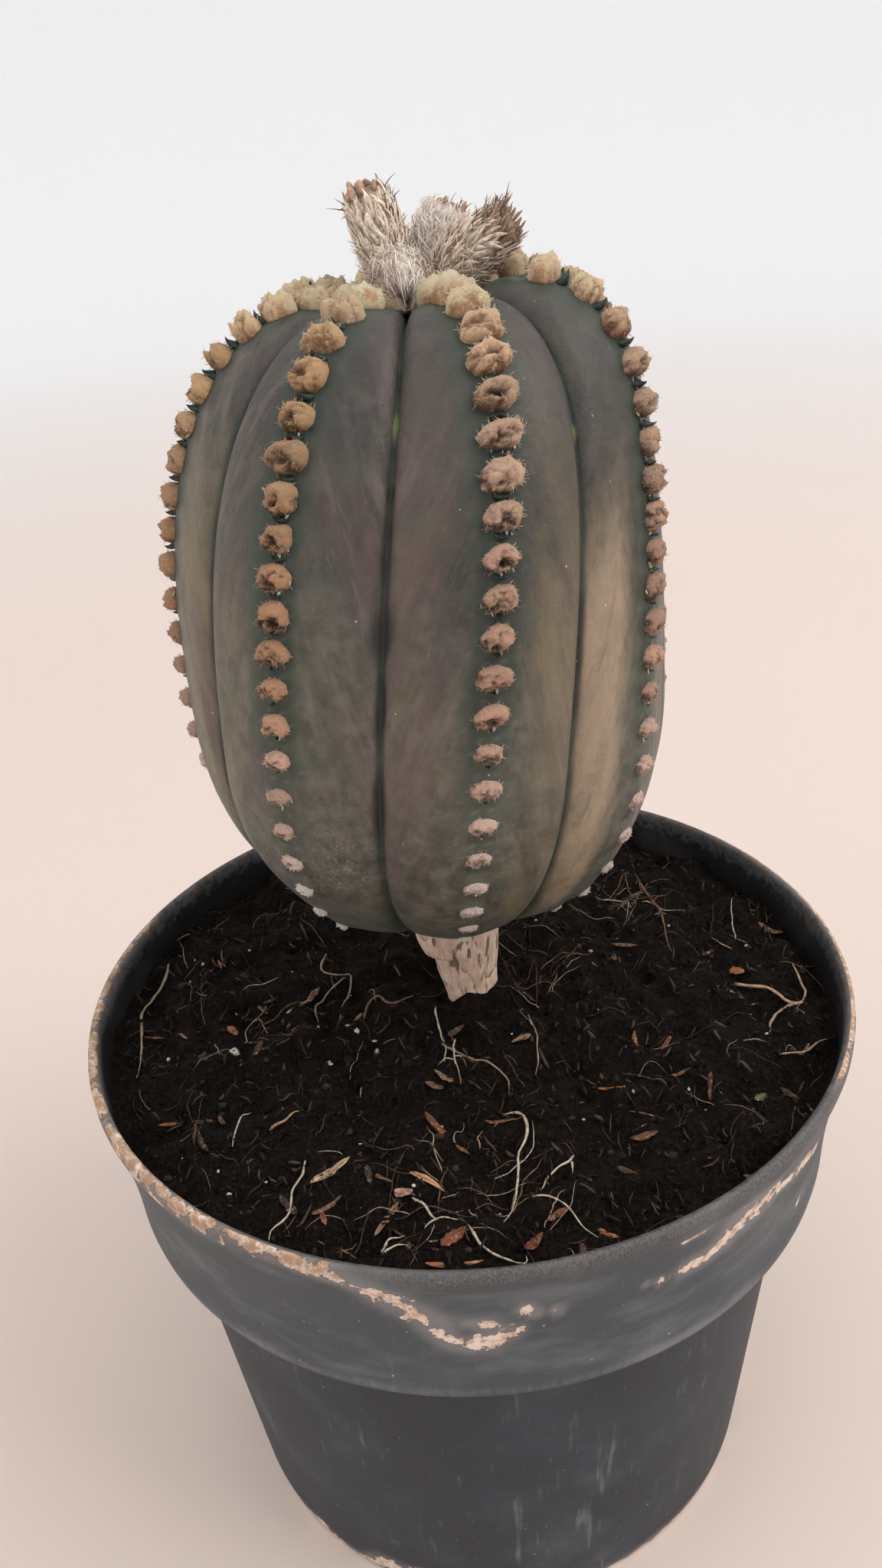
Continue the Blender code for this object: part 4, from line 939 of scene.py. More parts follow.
purple = FLANK_PURPLE[flank] * np.interp(flank_place, (0.1, 0.4, 0.8, 1), (0.2, 0.7, 1.15, 1.3))
purple = np.clip(purple + 0.45 * streak + 0.25 * fine_streak + 0.2 * patch - 0.12, 0, 1)
purple = purple * np.interp(arc_grid, (0, 0.02, 0.10, 0.135, 0.16), (0.7, 1, 1, 0.35, 0.1))
olive = np.clip(FLANK_OLIVE[flank] + 0.5 * patch - 0.35 * streak - 0.1, 0, 1)
olive = olive * np.interp(flank_place, (0.15, 0.5), (0.2, 1))
olive = olive * np.interp(arc_grid, (0, 0.03, 0.06, 0.12, 0.15), (0.1, 0.5, 1, 0.8, 0.3))
green = bell(crest_gap, 0.0058) * 0.85 + 0.4 * bell(nearest, 0.0042)
green = np.clip(green + 0.25 * patch * bell(crest_gap, 0.012), 0, 1)
green = green * np.interp(arc_grid, (0.08, 0.115), (1, 0.5))
green = np.maximum(green, np.interp(arc_grid, (0.115, 0.145), (0, 0.85)))
tan = np.interp(flank_place, (0.22, 0.6, 1.0), (0.0, 1.0, 0.8))
tan = FLANK_TAN[flank] * tan * np.interp(arc_grid, (0.045, 0.075, 0.13, 0.15), (0.0, 0.95, 0.8, 0.2))
# Along each furrow the skin is painted dark green: partly its own colour, partly painted shade in the crease
furrow_wide = np.interp(arc_grid, (0.0, 0.045, 0.115, 0.150), (0.0005, 0.0009, 0.0010, 0.0034))
furrow_green_and_shade = 0.75 + 0.25 * lumps(streak_place * np.array([1, 9, 1]), 1.0, 54)
furrow_green_and_shade = bell(furrow_gap, furrow_wide) * furrow_green_and_shade
pale = np.clip(FLANK_PALE[flank] * (0.6 + 0.9 * fine_streak + 0.4 * streak), 0, 1)
dark_furrow_marks = np.zeros(arc_grid.shape)
# Dark marks in the furrows: place in ribs, arc, and their half length and half width, in metres
FURROW_MARKS = ((1.5, 0.034, 0.0030, 0.0004), (1.5, 0.0455, 0.0016, 0.0005), (1.5, 0.0515, 0.0016, 0.0007),
                (1.5, 0.060, 0.0060, 0.0012), (1.5, 0.072, 0.0060, 0.0026), (1.5, 0.083, 0.0080, 0.0011),
                (1.5, 0.100, 0.0080, 0.0016), (2.5, 0.050, 0.012, 0.0007), (2.5, 0.080, 0.014, 0.0010),
                (0.5, 0.070, 0.016, 0.0006), (0.5, 0.100, 0.012, 0.0008), (3.5, 0.060, 0.015, 0.0008),
                (4.5, 0.065, 0.014, 0.0010), (5.5, 0.075, 0.012, 0.0009), (6.5, 0.055, 0.012, 0.0012),
                (7.5, 0.080, 0.014, 0.0009))
for place, middle, long, wide in FURROW_MARKS:
    sideways = (rib_grid - place) * stem_girth
    dark_furrow_marks = np.maximum(dark_furrow_marks, np.exp(-(sideways / wide) ** 2 - ((arc_grid - middle) / long) ** 2))
dark_furrow_marks = dark_furrow_marks * (0.8 + 0.4 * fine_streak)
# Yellow-green growth in the furrows: place in ribs, arc, and half length in metres
lichen = np.zeros(arc_grid.shape)
for place, middle, long in ((1.5, 0.0413, 0.0026), (2.5, 0.047, 0.0018), (4.5, 0.040, 0.003), (6.5, 0.050, 0.004)):
    sideways = (rib_grid - place) * stem_girth
    lichen = np.maximum(lichen, np.exp(-(sideways / 0.00055) ** 2 - ((arc_grid - middle) / long) ** 2))
# A ring just outside each pad: the skin's dark green there, deepened by painted shadow of the pad
dark_green_and_shadow_ring = bell(nearest - 0.0030, 0.0012)
dark_green_and_shadow_ring = dark_green_and_shadow_ring * np.interp(arc_grid, (0.02, 0.035, 0.085, 0.11), (0.3, 1, 0.7, 0.0))
young = np.clip(np.interp(arc_grid, (0.015, 0.050, 0.085), (1.2, 0.7, 0)) + 0.25 * patch
                + 0.9 * bell(rib_grid - 2.3, 0.8) * np.interp(arc_grid, (0.05, 0.11), (1, 0)), 0, 2)
web = np.exp(-((rib_grid - 1.29) * stem_girth / 0.0055) ** 2 - ((arc_grid - 0.112) / 0.0085) ** 2)


def with_ends(field):
    """A grid of values as a flat list, with the two end points' values after it."""
    return np.concatenate([field.reshape(-1, *field.shape[2:]), [field[0].mean(0), field[-1].mean(0)]])


hide = Finish("satin_skin", 0.42, {"Sheen Weight": 0.06, "Sheen Roughness": 0.4})
mottle = hide.noise(320, 4, 0.6)
pores = hide.noise(2600, 3, 0.65)
wisps = hide.noise(700, 3, 0.6, (1, 1, 0.22))
way = hide.field("way", "Vector")
broad_streaks = hide.noise(380, 4, 0.6, (1, 0.20, 1), way)
fine_streaks = hide.noise(1300, 4, 0.7, (1, 0.12, 1), way)
blotch = hide.noise(110, 4, 0.6)
fleck = hide.cells(330).step(0.075, 0.045) * mottle.step(0.53, 0.62)
scratch = hide.noise(900, 2, 0.5, (1, 1, 0.06)).step(0.70, 0.76)
web_line = (hide.noise(420, 3, 0.6) - 0.5) ** 2
colour = hide.layers(
    hide.mix(mottle.step(0.32, 0.68), tint("45433a"), tint("625e53")),
    ((hide.field("young") + (mottle - 0.5) * 0.4).step(0.1, 1.0) * 0.84, "2d2927"),
    ((hide.field("olive") + (mottle - 0.5) * 0.6).step(0.15, 0.95) * 0.75, "7b6d54"),
    ((hide.field("purple") + (wisps - 0.5) * 0.9).step(0.2, 1.0) * 0.8, "5a4844"),
    ((hide.field("tan") + (wisps - 0.5) * 0.5).step(0.15, 0.9) * 0.85, "a38d74"),
    (broad_streaks.step(0.50, 0.72) * 0.30, "82766e"),
    (broad_streaks.step(0.48, 0.30) * 0.38, "353530"),
    (fine_streaks.step(0.56, 0.76) * 0.20, "8c837b"),
    (fine_streaks.step(0.45, 0.28) * 0.22, "2f2c28"),
    (blotch.step(0.50, 0.68) * 0.35, "4a5244"),
    (blotch.step(0.46, 0.32) * 0.30, "6e625a"),
    ((hide.field("pale") + (wisps - 0.5) * 0.8).step(0.3, 0.9) * 0.4, "958a82"),
    (hide.field("young").step(0.85, 1.6) * 0.5, "3a3632"),
    ((hide.field("green") + (mottle - 0.5) * 0.5).step(0.25, 1.0) * 0.82, "3a4437"),
    # painted shadow round the pads, over their dark green
    (hide.field("dark_green_and_shadow_ring").step(0.1, 1.0) * 0.75, "262e27"),
    # painted highlight along the faint raised chevrons
    (hide.field("chevron").step(0.1, 1.0) * 0.28, "86857a"),
    # dark green and painted shade in the furrows' creases
    (hide.field("furrow").step(0.1, 0.9) * 0.85, "25352c"),
    (hide.field("dark_furrow_marks").step(0.15, 0.75) * 0.85, "1e1c19"),
    (hide.field("lichen").step(0.3, 0.9) * 0.8, "747a4a"),
    (fleck * 0.8, "cfc8bd"),
    (scratch * mottle.step(0.5, 0.7) * 0.35, "a39c92"),
    (hide.field("web") * web_line.step(0.00020, 0.00002) * 0.40, "b0aaa2"))
hide.set(colour=colour, roughness=0.42 + mottle * 0.18 + fleck * 0.3,
         normal=hide.relief(pores * 0.6 + fine_streaks * 0.4, 0.00008, hide.relief(mottle, 0.0004)))
stem_fields = {"purple": purple, "olive": olive, "green": green, "furrow": furrow_green_and_shade, "pale": pale,
               "chevron": chevron, "dark_furrow_marks": dark_furrow_marks, "young": young, "tan": tan, "dark_green_and_shadow_ring": dark_green_and_shadow_ring, "lichen": lichen,
               "way": streak_way, "web": web}
stem = make_piece("stem_body", np.concatenate([stem_points.reshape(-1, 3), stem_ends]),
                  closed_faces(STEM_ROWS, RIB_COUNT * RIB_COLUMNS), hide,
                  **{name: with_ends(values) for name, values in stem_fields.items()})
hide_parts("stem")
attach(stem, "root")

# Areoles
# A pad of felted wool sits at every step along each crest. The young ones at the crown are full cream cushions that
# run together; further down they turn tan with a dark pit, then shrink to pinkish and at last white dots. Short hair
# lies all over them, old spine stubs and shed skin sit in their lower edge, and the lowest have dried with a drip.
SIZE_ARCS = (0.0, 0.020, 0.030, 0.045, 0.060, 0.085, 0.105, 0.118, 0.133, 0.150)
TUFT_WIDTHS = (0.0074, 0.0068, 0.0064, 0.0060, 0.0055, 0.0049, 0.0043, 0.0036, 0.0025, 0.0020)
TUFT_LENGTHS = (0.0064, 0.0056, 0.0050, 0.0050, 0.0047, 0.0038, 0.0030, 0.0024, 0.0019, 0.0017)
TUFT_HEIGHTS = (0.0034, 0.0032, 0.0029, 0.0027, 0.0024, 0.0020, 0.0016, 0.0012, 0.0010, 0.0009)
# Pad colours along the arc: light tones where the pads are lit, dark tones where shade is painted on them as well as
# where their wool is browner
TONE_ARCS = (0.0, 0.020, 0.032, 0.048, 0.065, 0.085, 0.105, 0.120, 0.145)
LIGHT_TONES = ("fff0d0", "ffe4bc", "f8d0aa", "dcb89e", "d8ae94", "e4b49a", "f2ccb8", "f9e4d8", "fdf4ee")
DARK_TONES = ("e2b690", "cf9e78", "8a6044", "48332a", "3c2c26", "4c382e", "8e6f60", "c4aa9c", "e4d2c6")
GOLDEN = (0.86, 0.80, 0.64)
PIT_ARCS = (0.0, 0.020, 0.036, 0.060, 0.090, 0.108, 0.125)
PIT_DEPTHS = (0.10, 0.45, 0.75, 0.85, 0.80, 0.35, 0.0)
PIT_SHIFTS = (0.0, 0.0, 0.15, 0.38, 0.55, 0.50, 0.0)
NOTCHES = (0.0, 0.0, 0.05, 0.12, 0.36, 0.15, 0.0)
FRONT_RIBS = 4

FLOWER_CLEARANCE = 0.0045
# Dried flowers: base, bend and tip of each one's axis, its girth and how it closes at the tip
FLOWERS = {
    "left": ((-0.0036, 0.0180, 0.2392), (-0.0056, 0.0178, 0.2500), (-0.0084, 0.0175, 0.2575), 0.0042, 0.80),
    "middle": ((0.0016, 0.0208, 0.2400), (0.0030, 0.0212, 0.2490), (0.0056, 0.0220, 0.2545), 0.0046, 0.60),
    "right": ((0.0038, 0.0128, 0.2405), (0.0058, 0.0118, 0.2482), (0.0150, 0.0097, 0.2508), 0.0042, 0.75),
    "front": ((-0.0034, 0.0122, 0.2408), (-0.0035, 0.0084, 0.2474), (-0.0022, 0.0012, 0.2426), 0.0043, 0.40),
}


def flower_axis(flower, share):
    """Points and headings of a flower's axis, a quadratic curve from its base by its bend to its tip."""
    base, bend, tip = (np.array(point) for point in FLOWERS[flower][:3])
    share = np.asarray(share)[..., None]
    point = base * (1 - share) ** 2 + bend * 2 * share * (1 - share) + tip * share ** 2
    return point, unit((bend - base) * (1 - share) + (tip - bend) * share)


def flower_radius(flower, share):
    """Half a flower's thickness: 0.62 of its girth at the base, full past the middle, drawn in by a square."""
    girth, mouth = FLOWERS[flower][3:]
    swell = np.sin(np.clip(np.asarray(share) / 0.55, 0, 1) * math.pi / 2)
    close = np.clip(np.asarray(share) - 0.60, 0, 1) / 0.40
    return girth * (0.62 + 0.38 * swell) * np.maximum(1 - (1 - mouth) * close ** 2, 0.05)


middle = skin_frame(areole_arc, areole_rib)[0]
clear = np.ones(len(areole_arc), bool)
for flower in FLOWERS:
    axis_points, _ = flower_axis(flower, np.linspace(0, 0.6, 9))
    clear &= (np.linalg.norm(middle[:, None] - axis_points, axis=-1) > FLOWER_CLEARANCE).all(1)
clear &= (areole_rib != 3) | (areole_arc > 0.020)
tuft_arc, tuft_rib = areole_arc[clear], areole_rib[clear]
tuft_count = len(tuft_arc)
draw = np.random.default_rng(14)
tuft_point, tuft_side, tuft_down, tuft_out = skin_frame(tuft_arc, tuft_rib)
tuft_wide = np.interp(tuft_arc, SIZE_ARCS, TUFT_WIDTHS) / 2 * (1 + 0.08 * (tuft_rib == 2))
tuft_wide = tuft_wide * draw.uniform(0.90, 1.08, tuft_count)
tuft_long = np.interp(tuft_arc, SIZE_ARCS, TUFT_LENGTHS) / 2 * draw.uniform(0.88, 1.08, tuft_count)
tuft_high = np.interp(tuft_arc, SIZE_ARCS, TUFT_HEIGHTS) * draw.uniform(0.85, 1.08, tuft_count)
tuft_pit = np.interp(tuft_arc, PIT_ARCS, PIT_DEPTHS) * draw.uniform(0.6, 1.15, tuft_count)
tuft_shift = np.interp(tuft_arc, PIT_ARCS, PIT_SHIFTS) + draw.normal(0, 0.10, tuft_count)
tuft_notch = np.interp(tuft_arc, PIT_ARCS, NOTCHES) * draw.uniform(0.4, 1.5, tuft_count)
tuft_slip = draw.normal(0, 0.14, tuft_count)
tuft_light, tuft_dark = (np.stack([np.interp(tuft_arc, TONE_ARCS, tone) for tone in tones(*codes).T], -1)
                         for codes in (LIGHT_TONES, DARK_TONES))
gold = np.interp(tuft_arc, (0.02, 0.035, 0.075, 0.095), (0, 1, 1, 0)) * (tuft_rib < 2)
tuft_shade = draw.uniform(0.82, 1.15, (tuft_count, 1)) * (1 - gold[:, None] * (1 - np.array(GOLDEN)))
tuft_light, tuft_dark = np.minimum(tuft_light * tuft_shade, 1), tuft_dark * tuft_shade


def on_tuft(which, fall, turn, proud=1.0):
    """Points of the wool pads, with how deep each lies in its pit and how dark it is painted.

    A pad is a squashed ball: its reach is a power of the fall's sine and its rise a power of the cosine. The edge
    waves and is notched below, three sizes of lumps raise the top, and a bell-shaped pit sinks it. It darkens
    downwards, partly the wool's browner lower edge and partly painted shade, and towards its middle, the wool's own
    brown; to the left, between the lumps and away from its top it darkens with painted shade."""
    reach = np.sin(fall) ** 0.7
    sway = turned(1.5, turn, which * 3.7)
    from_below = np.angle(np.exp(1j * turn))
    edge = 1 + 0.12 * lumps(sway, 1.0, 61) + 0.09 * lumps(sway * 3.1, 1.0, 66) * 0.6
    edge = edge - tuft_notch[which] * bell(from_below, 0.50)
    sideways, downwards = reach * np.sin(turn) * edge, reach * np.cos(turn) * edge
    upper = np.clip(np.cos(fall), 0, 1)
    bumps, small, tiny = (lumps(np.stack([sideways * fine, downwards * fine, which * 5.1 + upper], -1), 1.0, seed)
                          for fine, seed in ((1.9, 62), (4.2, 63), (7.5, 64)))
    pit = np.exp(-((sideways - tuft_slip[which]) / 0.34) ** 2 - ((downwards - tuft_shift[which]) / 0.28) ** 2)
    pit = pit * upper ** 0.5 * tuft_pit[which]
    rise = np.where(fall < math.pi / 2, upper ** 0.75, 0.35 * np.minimum(np.cos(fall), 0))
    lift = tuft_high[which] * proud * (rise * (1 + 0.22 * bumps + 0.25 * small + 0.12 * tiny) - pit * 0.85)
    point = tuft_point[which] + tuft_out[which] * lift[..., None]
    point = point + tuft_side[which] * (tuft_wide[which] * sideways * (1 + 0.05 * small))[..., None]
    point = point + tuft_down[which] * (tuft_long[which] * downwards * (1 + 0.05 * tiny))[..., None]
    sloping = np.interp(tuft_arc[which], (0.015, 0.035), (0.3, 1.0))
    # Painted shade: darker between the lumps, to the left and away from the top; darker downwards, partly painted
    # shade and partly browner wool; the brown middle is the wool's own
    shade = 0.08 + 0.14 * sloping - (0.95 - 0.50 * sloping) * (bumps + small)
    shade = shade + sloping * (0.45 * downwards - 0.26 * sideways + 0.42 * bell(reach, 0.55))
    shade = shade - 0.3 * tiny - 0.25 * (upper - 0.5)
    return point, pit, np.clip(shade, 0, 1)


felt = Finish("felted_wool", 0.12, {"Sheen Weight": 0.15, "Sheen Tint": (1.0, 0.82, 0.66, 1.0),
                                    "Subsurface Weight": 0.3, "Subsurface Scale": 0.0006,
                                    "Subsurface Radius": (1.0, 0.88, 0.78)})
tufting = felt.noise(1400, 4, 0.7)
fluff = felt.noise(4200, 3, 0.7)
# The pads' colour goes from their light to their dark tone by their own tone and painted shade, with felted noise
shade = (felt.field("shade") + (tufting - 0.5) * 1.3 + (fluff - 0.5) * 0.6).step(0.05, 0.95)
colour = felt.mix(shade, felt.field("light", "Vector"), felt.field("dark", "Vector"))
# The pit is painted dark brown to black: its brown wool deepened by painted shade in the hollow
colour = felt.mix((felt.field("pit") + (fluff - 0.5) * 0.3).step(0.25, 0.75) * 0.85, colour, tint("33211a"))
felt.set(colour=colour, roughness=0.95, normal=felt.relief(tufting * 0.5 + fluff * 0.5, 0.0020))
floss = Finish("wool_hair", 0.15, {"Roughness": 0.9, "Sheen Weight": 0.7, "Sheen Tint": (1.0, 0.90, 0.82, 1.0)})
floss.set(colour=floss.field("tone", "Vector"))


def hair_paths(roots, heading, length, stations, curl, draw):
    """Paths of hairs: each leaves its root along its heading and is bent sideways by the square of its share."""
    share = np.linspace(0, 1, stations)[:, None]
    bend = draw.normal(0, curl, roots.shape)[:, None]
    return roots[:, None] + length[:, None, None] * (heading[:, None] * share + bend * share ** 2)


HAIR_FACING = (0.31, 0.17, 0.94)
in_front = (tuft_rib < FRONT_RIBS) | (tuft_arc < 0.030)
for name, members, rows, columns, hairs in (("front", np.flatnonzero(in_front), 16, 30, 85),
                                            ("back", np.flatnonzero(~in_front), 10, 18, 34)):
    fall = math.pi * (1 - (np.arange(rows) + 0.5) / rows)
    turn = even_turn(columns)
    grid = [part.reshape(len(members), -1)
            for part in np.broadcast_arrays(members[:, None, None], fall[:, None], turn)]
    ends = np.broadcast_arrays(members[:, None], np.array([math.pi, 1e-6]), 0.0)
    which, fall, turn = (np.concatenate(pair, 1) for pair in zip(grid, ends))
    pad_points, pad_pit, pad_shade = on_tuft(which, fall, turn)
    pads = make_piece("areole_wool_" + name, pad_points, closed_faces(rows, columns, len(members)), felt,
                      pit=pad_pit, shade=pad_shade, light=tuft_light[which], dark=tuft_dark[which])
    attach(pads, "root")

    on = np.repeat(members, hairs)
    count = len(on)
    root, hair_pit, hair_shade = on_tuft(on, np.arccos(draw.uniform(0.0, 0.97, count)),
                                         draw.uniform(0, math.tau, count), 0.96)
    away = unit(root - tuft_point[on] - tuft_out[on] * tuft_high[on][:, None] * 0.3)
    heading = away * draw.uniform(0.15, 0.75, (count, 1)) + draw.normal(0, 0.55, (count, 3))
    heading = unit(heading + tuft_out[on] * 0.1)
    paths = hair_paths(root, heading, tuft_wide[on] * draw.uniform(0.12, 0.30, count), 2, 0.0, draw)
    half = draw.uniform(0.00004, 0.00008, count)[:, None] * np.array([1.0, 0.35])
    # Hairs take their pad's colour at their root, painted shade included, and darken near the pit
    share = np.clip(hair_shade * 1.1 + 0.8 * hair_pit + draw.normal(0, 0.15, count), 0, 1)[:, None]
    hair_tone = (tuft_light[on] * (1 - share) + tuft_dark[on] * share) * draw.uniform(0.85, 1.35, (count, 1))
    wool_hair = bundle("wool_hair_" + name, paths, half, 1, 3, floss, HAIR_FACING, tone=np.minimum(hair_tone, 1))
    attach(wool_hair, "root")

# Scraps of shed skin and spine stubs in the lower edges of the middle pads, and the drips of the lowest
SCRAP_ARCS = (0.040, 0.112)
DRIP_ARCS = (0.085, 0.138)
SCRAPS_TO_A_PAD = 3
scrap_tuft = np.repeat(np.flatnonzero((tuft_arc > SCRAP_ARCS[0]) & (tuft_arc < SCRAP_ARCS[1])), SCRAPS_TO_A_PAD)
scrap_count = len(scrap_tuft)
scrap_turn = draw.normal(0, 0.75, scrap_count)
scrap_root = on_tuft(scrap_tuft, np.full(scrap_count, 1.5), scrap_turn)[0]
scrap_way = unit(tuft_down[scrap_tuft] + tuft_out[scrap_tuft] * draw.uniform(0.1, 0.9, (scrap_count, 1))
                 + draw.normal(0, 0.35, (scrap_count, 3)))
drip_tuft = np.flatnonzero((tuft_arc > DRIP_ARCS[0]) & (tuft_arc < DRIP_ARCS[1]))
drip_count = len(drip_tuft)
drip_root = on_tuft(drip_tuft, np.full(drip_count, 1.45), draw.normal(0, 0.15, drip_count))[0]
scrap_root = np.concatenate([scrap_root - scrap_way * 0.0003, drip_root])
scrap_way = np.concatenate([scrap_way, unit(tuft_down[drip_tuft] - tuft_out[drip_tuft] * 0.12)])
scrap_long = np.concatenate([draw.uniform(0.0006, 0.0012, scrap_count), draw.uniform(0.0006, 0.0013, drip_count)])
scrap_half = np.concatenate([draw.uniform(0.00013, 0.00028, scrap_count),
                             draw.uniform(0.00018, 0.00028, drip_count)])
scrap_tones = tones("b9b4a8", "8d8474", "d8d2c6", "6a5a4a", "e4d6cc")
scrap_pick = np.concatenate([draw.integers(0, 4, scrap_count), np.full(drip_count, 4)])
scrap_taper = np.array([0.8, 1.0, 1.1, 0.9, 0.45])
horn = Finish("shed_skin", 0.3, {"Roughness": 0.8})
horn_noise = horn.noise(2400, 2)
horn.set(colour=horn.mix(horn_noise.step(0.4, 0.7) * 0.5, horn.field("tone", "Vector"), tint("7a7166")))
scraps = bundle("areole_scraps", hair_paths(scrap_root, scrap_way, scrap_long, len(scrap_taper), 0.08, draw),
                scrap_half[:, None] * scrap_taper, 0.7, 5, horn, HAIR_FACING, tone=scrap_tones[scrap_pick])
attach(scraps, "root")

# A papery curl of shed skin stands up along the right edge of one upper pad
CURL_RIB = 3
CURL_ARC = 0.0292
CURL_STATIONS = 12
curled = np.full(CURL_STATIONS, int(np.argmin(np.abs(tuft_arc - CURL_ARC) + (tuft_rib != CURL_RIB))))
curl_path = on_tuft(curled, np.full(CURL_STATIONS, 1.30), np.linspace(2.7, 0.35, CURL_STATIONS), 1.3)[0]
curl_wide = 0.00055 * np.sin(np.linspace(0.25, 2.9, CURL_STATIONS)) ** 0.6
curl = bundle("papery_curl", curl_path[None], curl_wide[None], 0.25, 6, horn, tuft_side[curled[0]],
              tone=tones("f4dcc2"))
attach(curl, "root")

# Scales
# Under each areole stands a small dark green scale, a leaf no bigger than a grain of rice. It hugs the pad's lower
# edge as a crescent near the crown, points out and a little down, and is a mere hook lower on the stem.
SCALE_ARCS = (0.013, 0.05, 0.075, 0.112)
SCALE_TAPER = np.array([1.0, 1.0, 0.85, 0.6, 0.32, 0.05])
scale_on = (tuft_arc > SCALE_ARCS[0]) & (tuft_arc < SCALE_ARCS[-1])
scale_arc, scale_rib = tuft_arc[scale_on], tuft_rib[scale_on]
scale_count = len(scale_arc)
below = np.interp(scale_arc, SIZE_ARCS, TUFT_LENGTHS) * 0.47
scale_point, scale_side, scale_down, scale_out = skin_frame(scale_arc + below, scale_rib)
scale_long = np.interp(scale_arc, SCALE_ARCS, (0.0030, 0.0026, 0.0017, 0.0010))
scale_long = scale_long * draw.uniform(0.8, 1.15, scale_count)
scale_broad = np.interp(scale_arc, SCALE_ARCS, (0.0019, 0.0016, 0.0009, 0.0004))
scale_share = np.linspace(0, 1, len(SCALE_TAPER))[:, None]
scale_lean = draw.normal(0, 0.14, (scale_count, 1))
scale_way = scale_down[:, None] * (0.75 * scale_share * (1.1 - scale_share * 0.8))
scale_way = scale_out[:, None] * (scale_share * 0.9) + scale_way
scale_way = scale_way + scale_side[:, None] * scale_lean[:, None] * scale_share ** 2
scale_paths = scale_point[:, None] - scale_out[:, None] * 0.0004 + scale_way * scale_long[:, None, None]
scale_half = scale_broad[:, None] * SCALE_TAPER
leaf = Finish("green_scales", 0.35)
leaf_noise = leaf.noise(1500, 3)
leaf.set(colour=leaf.mix(leaf.field("tip").step(0.55, 1.0), leaf.mix(leaf_noise, tint("182822"), tint("33493b")),
                         tint("2c1f1a")), roughness=0.5)
scales = bundle("green_scales", scale_paths, scale_half, 0.4, 7, leaf, scale_down[:, None],
                tip=np.broadcast_to(scale_share[:, 0], scale_half.shape))
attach(scales, "root")

# Dried flowers
# Four withered flowers cling to the crown: straw-coloured tubes clad in overlapping flat bracts and combed grey wool,
# with brown lobes and dark bristles where the petals were.
CORE_ROWS = 40
CORE_COLUMNS = 36


def on_flower(flower, share, turn, lift=0.0):
    """Points round a flower's axis at its radius plus a lift, with the outward directions and the headings."""
    point, heading = flower_axis(flower, share)
    base, bend, tip = (np.array(place) for place in FLOWERS[flower][:3])
    across = unit(np.cross(bend - base, tip - bend))
    around = np.cross(heading, across)
    outward = across * np.cos(turn)[..., None] + around * np.sin(turn)[..., None]
    radius = flower_radius(flower, share) + lift
    return point + outward * radius[..., None], outward, heading


def along_flower(flower, share, turn, length, sway, lift):
    """Paths that run up a flower's surface: the share grows with the length over the axis' own, the turn sways by
    the square of the way, and the lift has a height over the surface for each station."""
    part = np.linspace(0, 1, lift.shape[1])
    base, _, tip = (np.array(place) for place in FLOWERS[flower][:3])
    shares = share[:, None] + part * (length / np.linalg.norm(tip - base))[:, None]
    return on_flower(flower, shares, turn[:, None] + sway[:, None] * part ** 2, lift)[0]


# Per flower: how many bracts, with their length, half width and spread in metres, how many wool hairs, with their
# length, and how many loose bristles
DRESSING = {
    "left": (400, 0.0034, 0.00036, 0.00022, 420, 0.0022, 40),
    "middle": (50, 0.0030, 0.00034, 0.00060, 1100, 0.0030, 14),
    "right": (300, 0.0030, 0.00037, 0.00050, 520, 0.0024, 110),
    "front": (24, 0.0024, 0.00026, 0.00040, 1200, 0.0030, 6),
}
# Lobes at the mouth: how many, length, half width, how far they flare and rise, the share they start at and colour
LOBES = {
    "left": (16, 0.0020, 0.00070, 0.05, 0.0, 0.94, "c4a48c"),
    "middle": (5, 0.0015, 0.00050, 0.15, 0.2, 0.93, "c4a08a"),
    "right": (120, 0.0026, 0.00028, 0.35, 0.8, 0.80, "ac907a"),
    "front": (4, 0.0016, 0.00040, 0.10, 0.0, 0.90, "7a6258"),
}
STRAW = {"left": "fff0de", "middle": "fff0e6", "right": "f6e6d6", "front": "fbeee6"}
FLUFF = {"left": "f6ead8", "middle": "fff4ea", "right": "ecdccc", "front": "ffeee2"}
STRIPES = {"left": "b8957a", "middle": "e0c6b8", "right": "a08470", "front": "c0a89a"}
BRACT_TAPER = np.array([0.6, 0.9, 1.0, 0.95, 0.75, 0.45, 0.08])
LOBE_TAPER = np.array([0.8, 1.0, 1.05, 1.05, 1.0, 0.8, 0.4])
GOLDEN_ANGLE = 2.39996
FLOSS_FACING = (0.31, 0.94, 0.17)

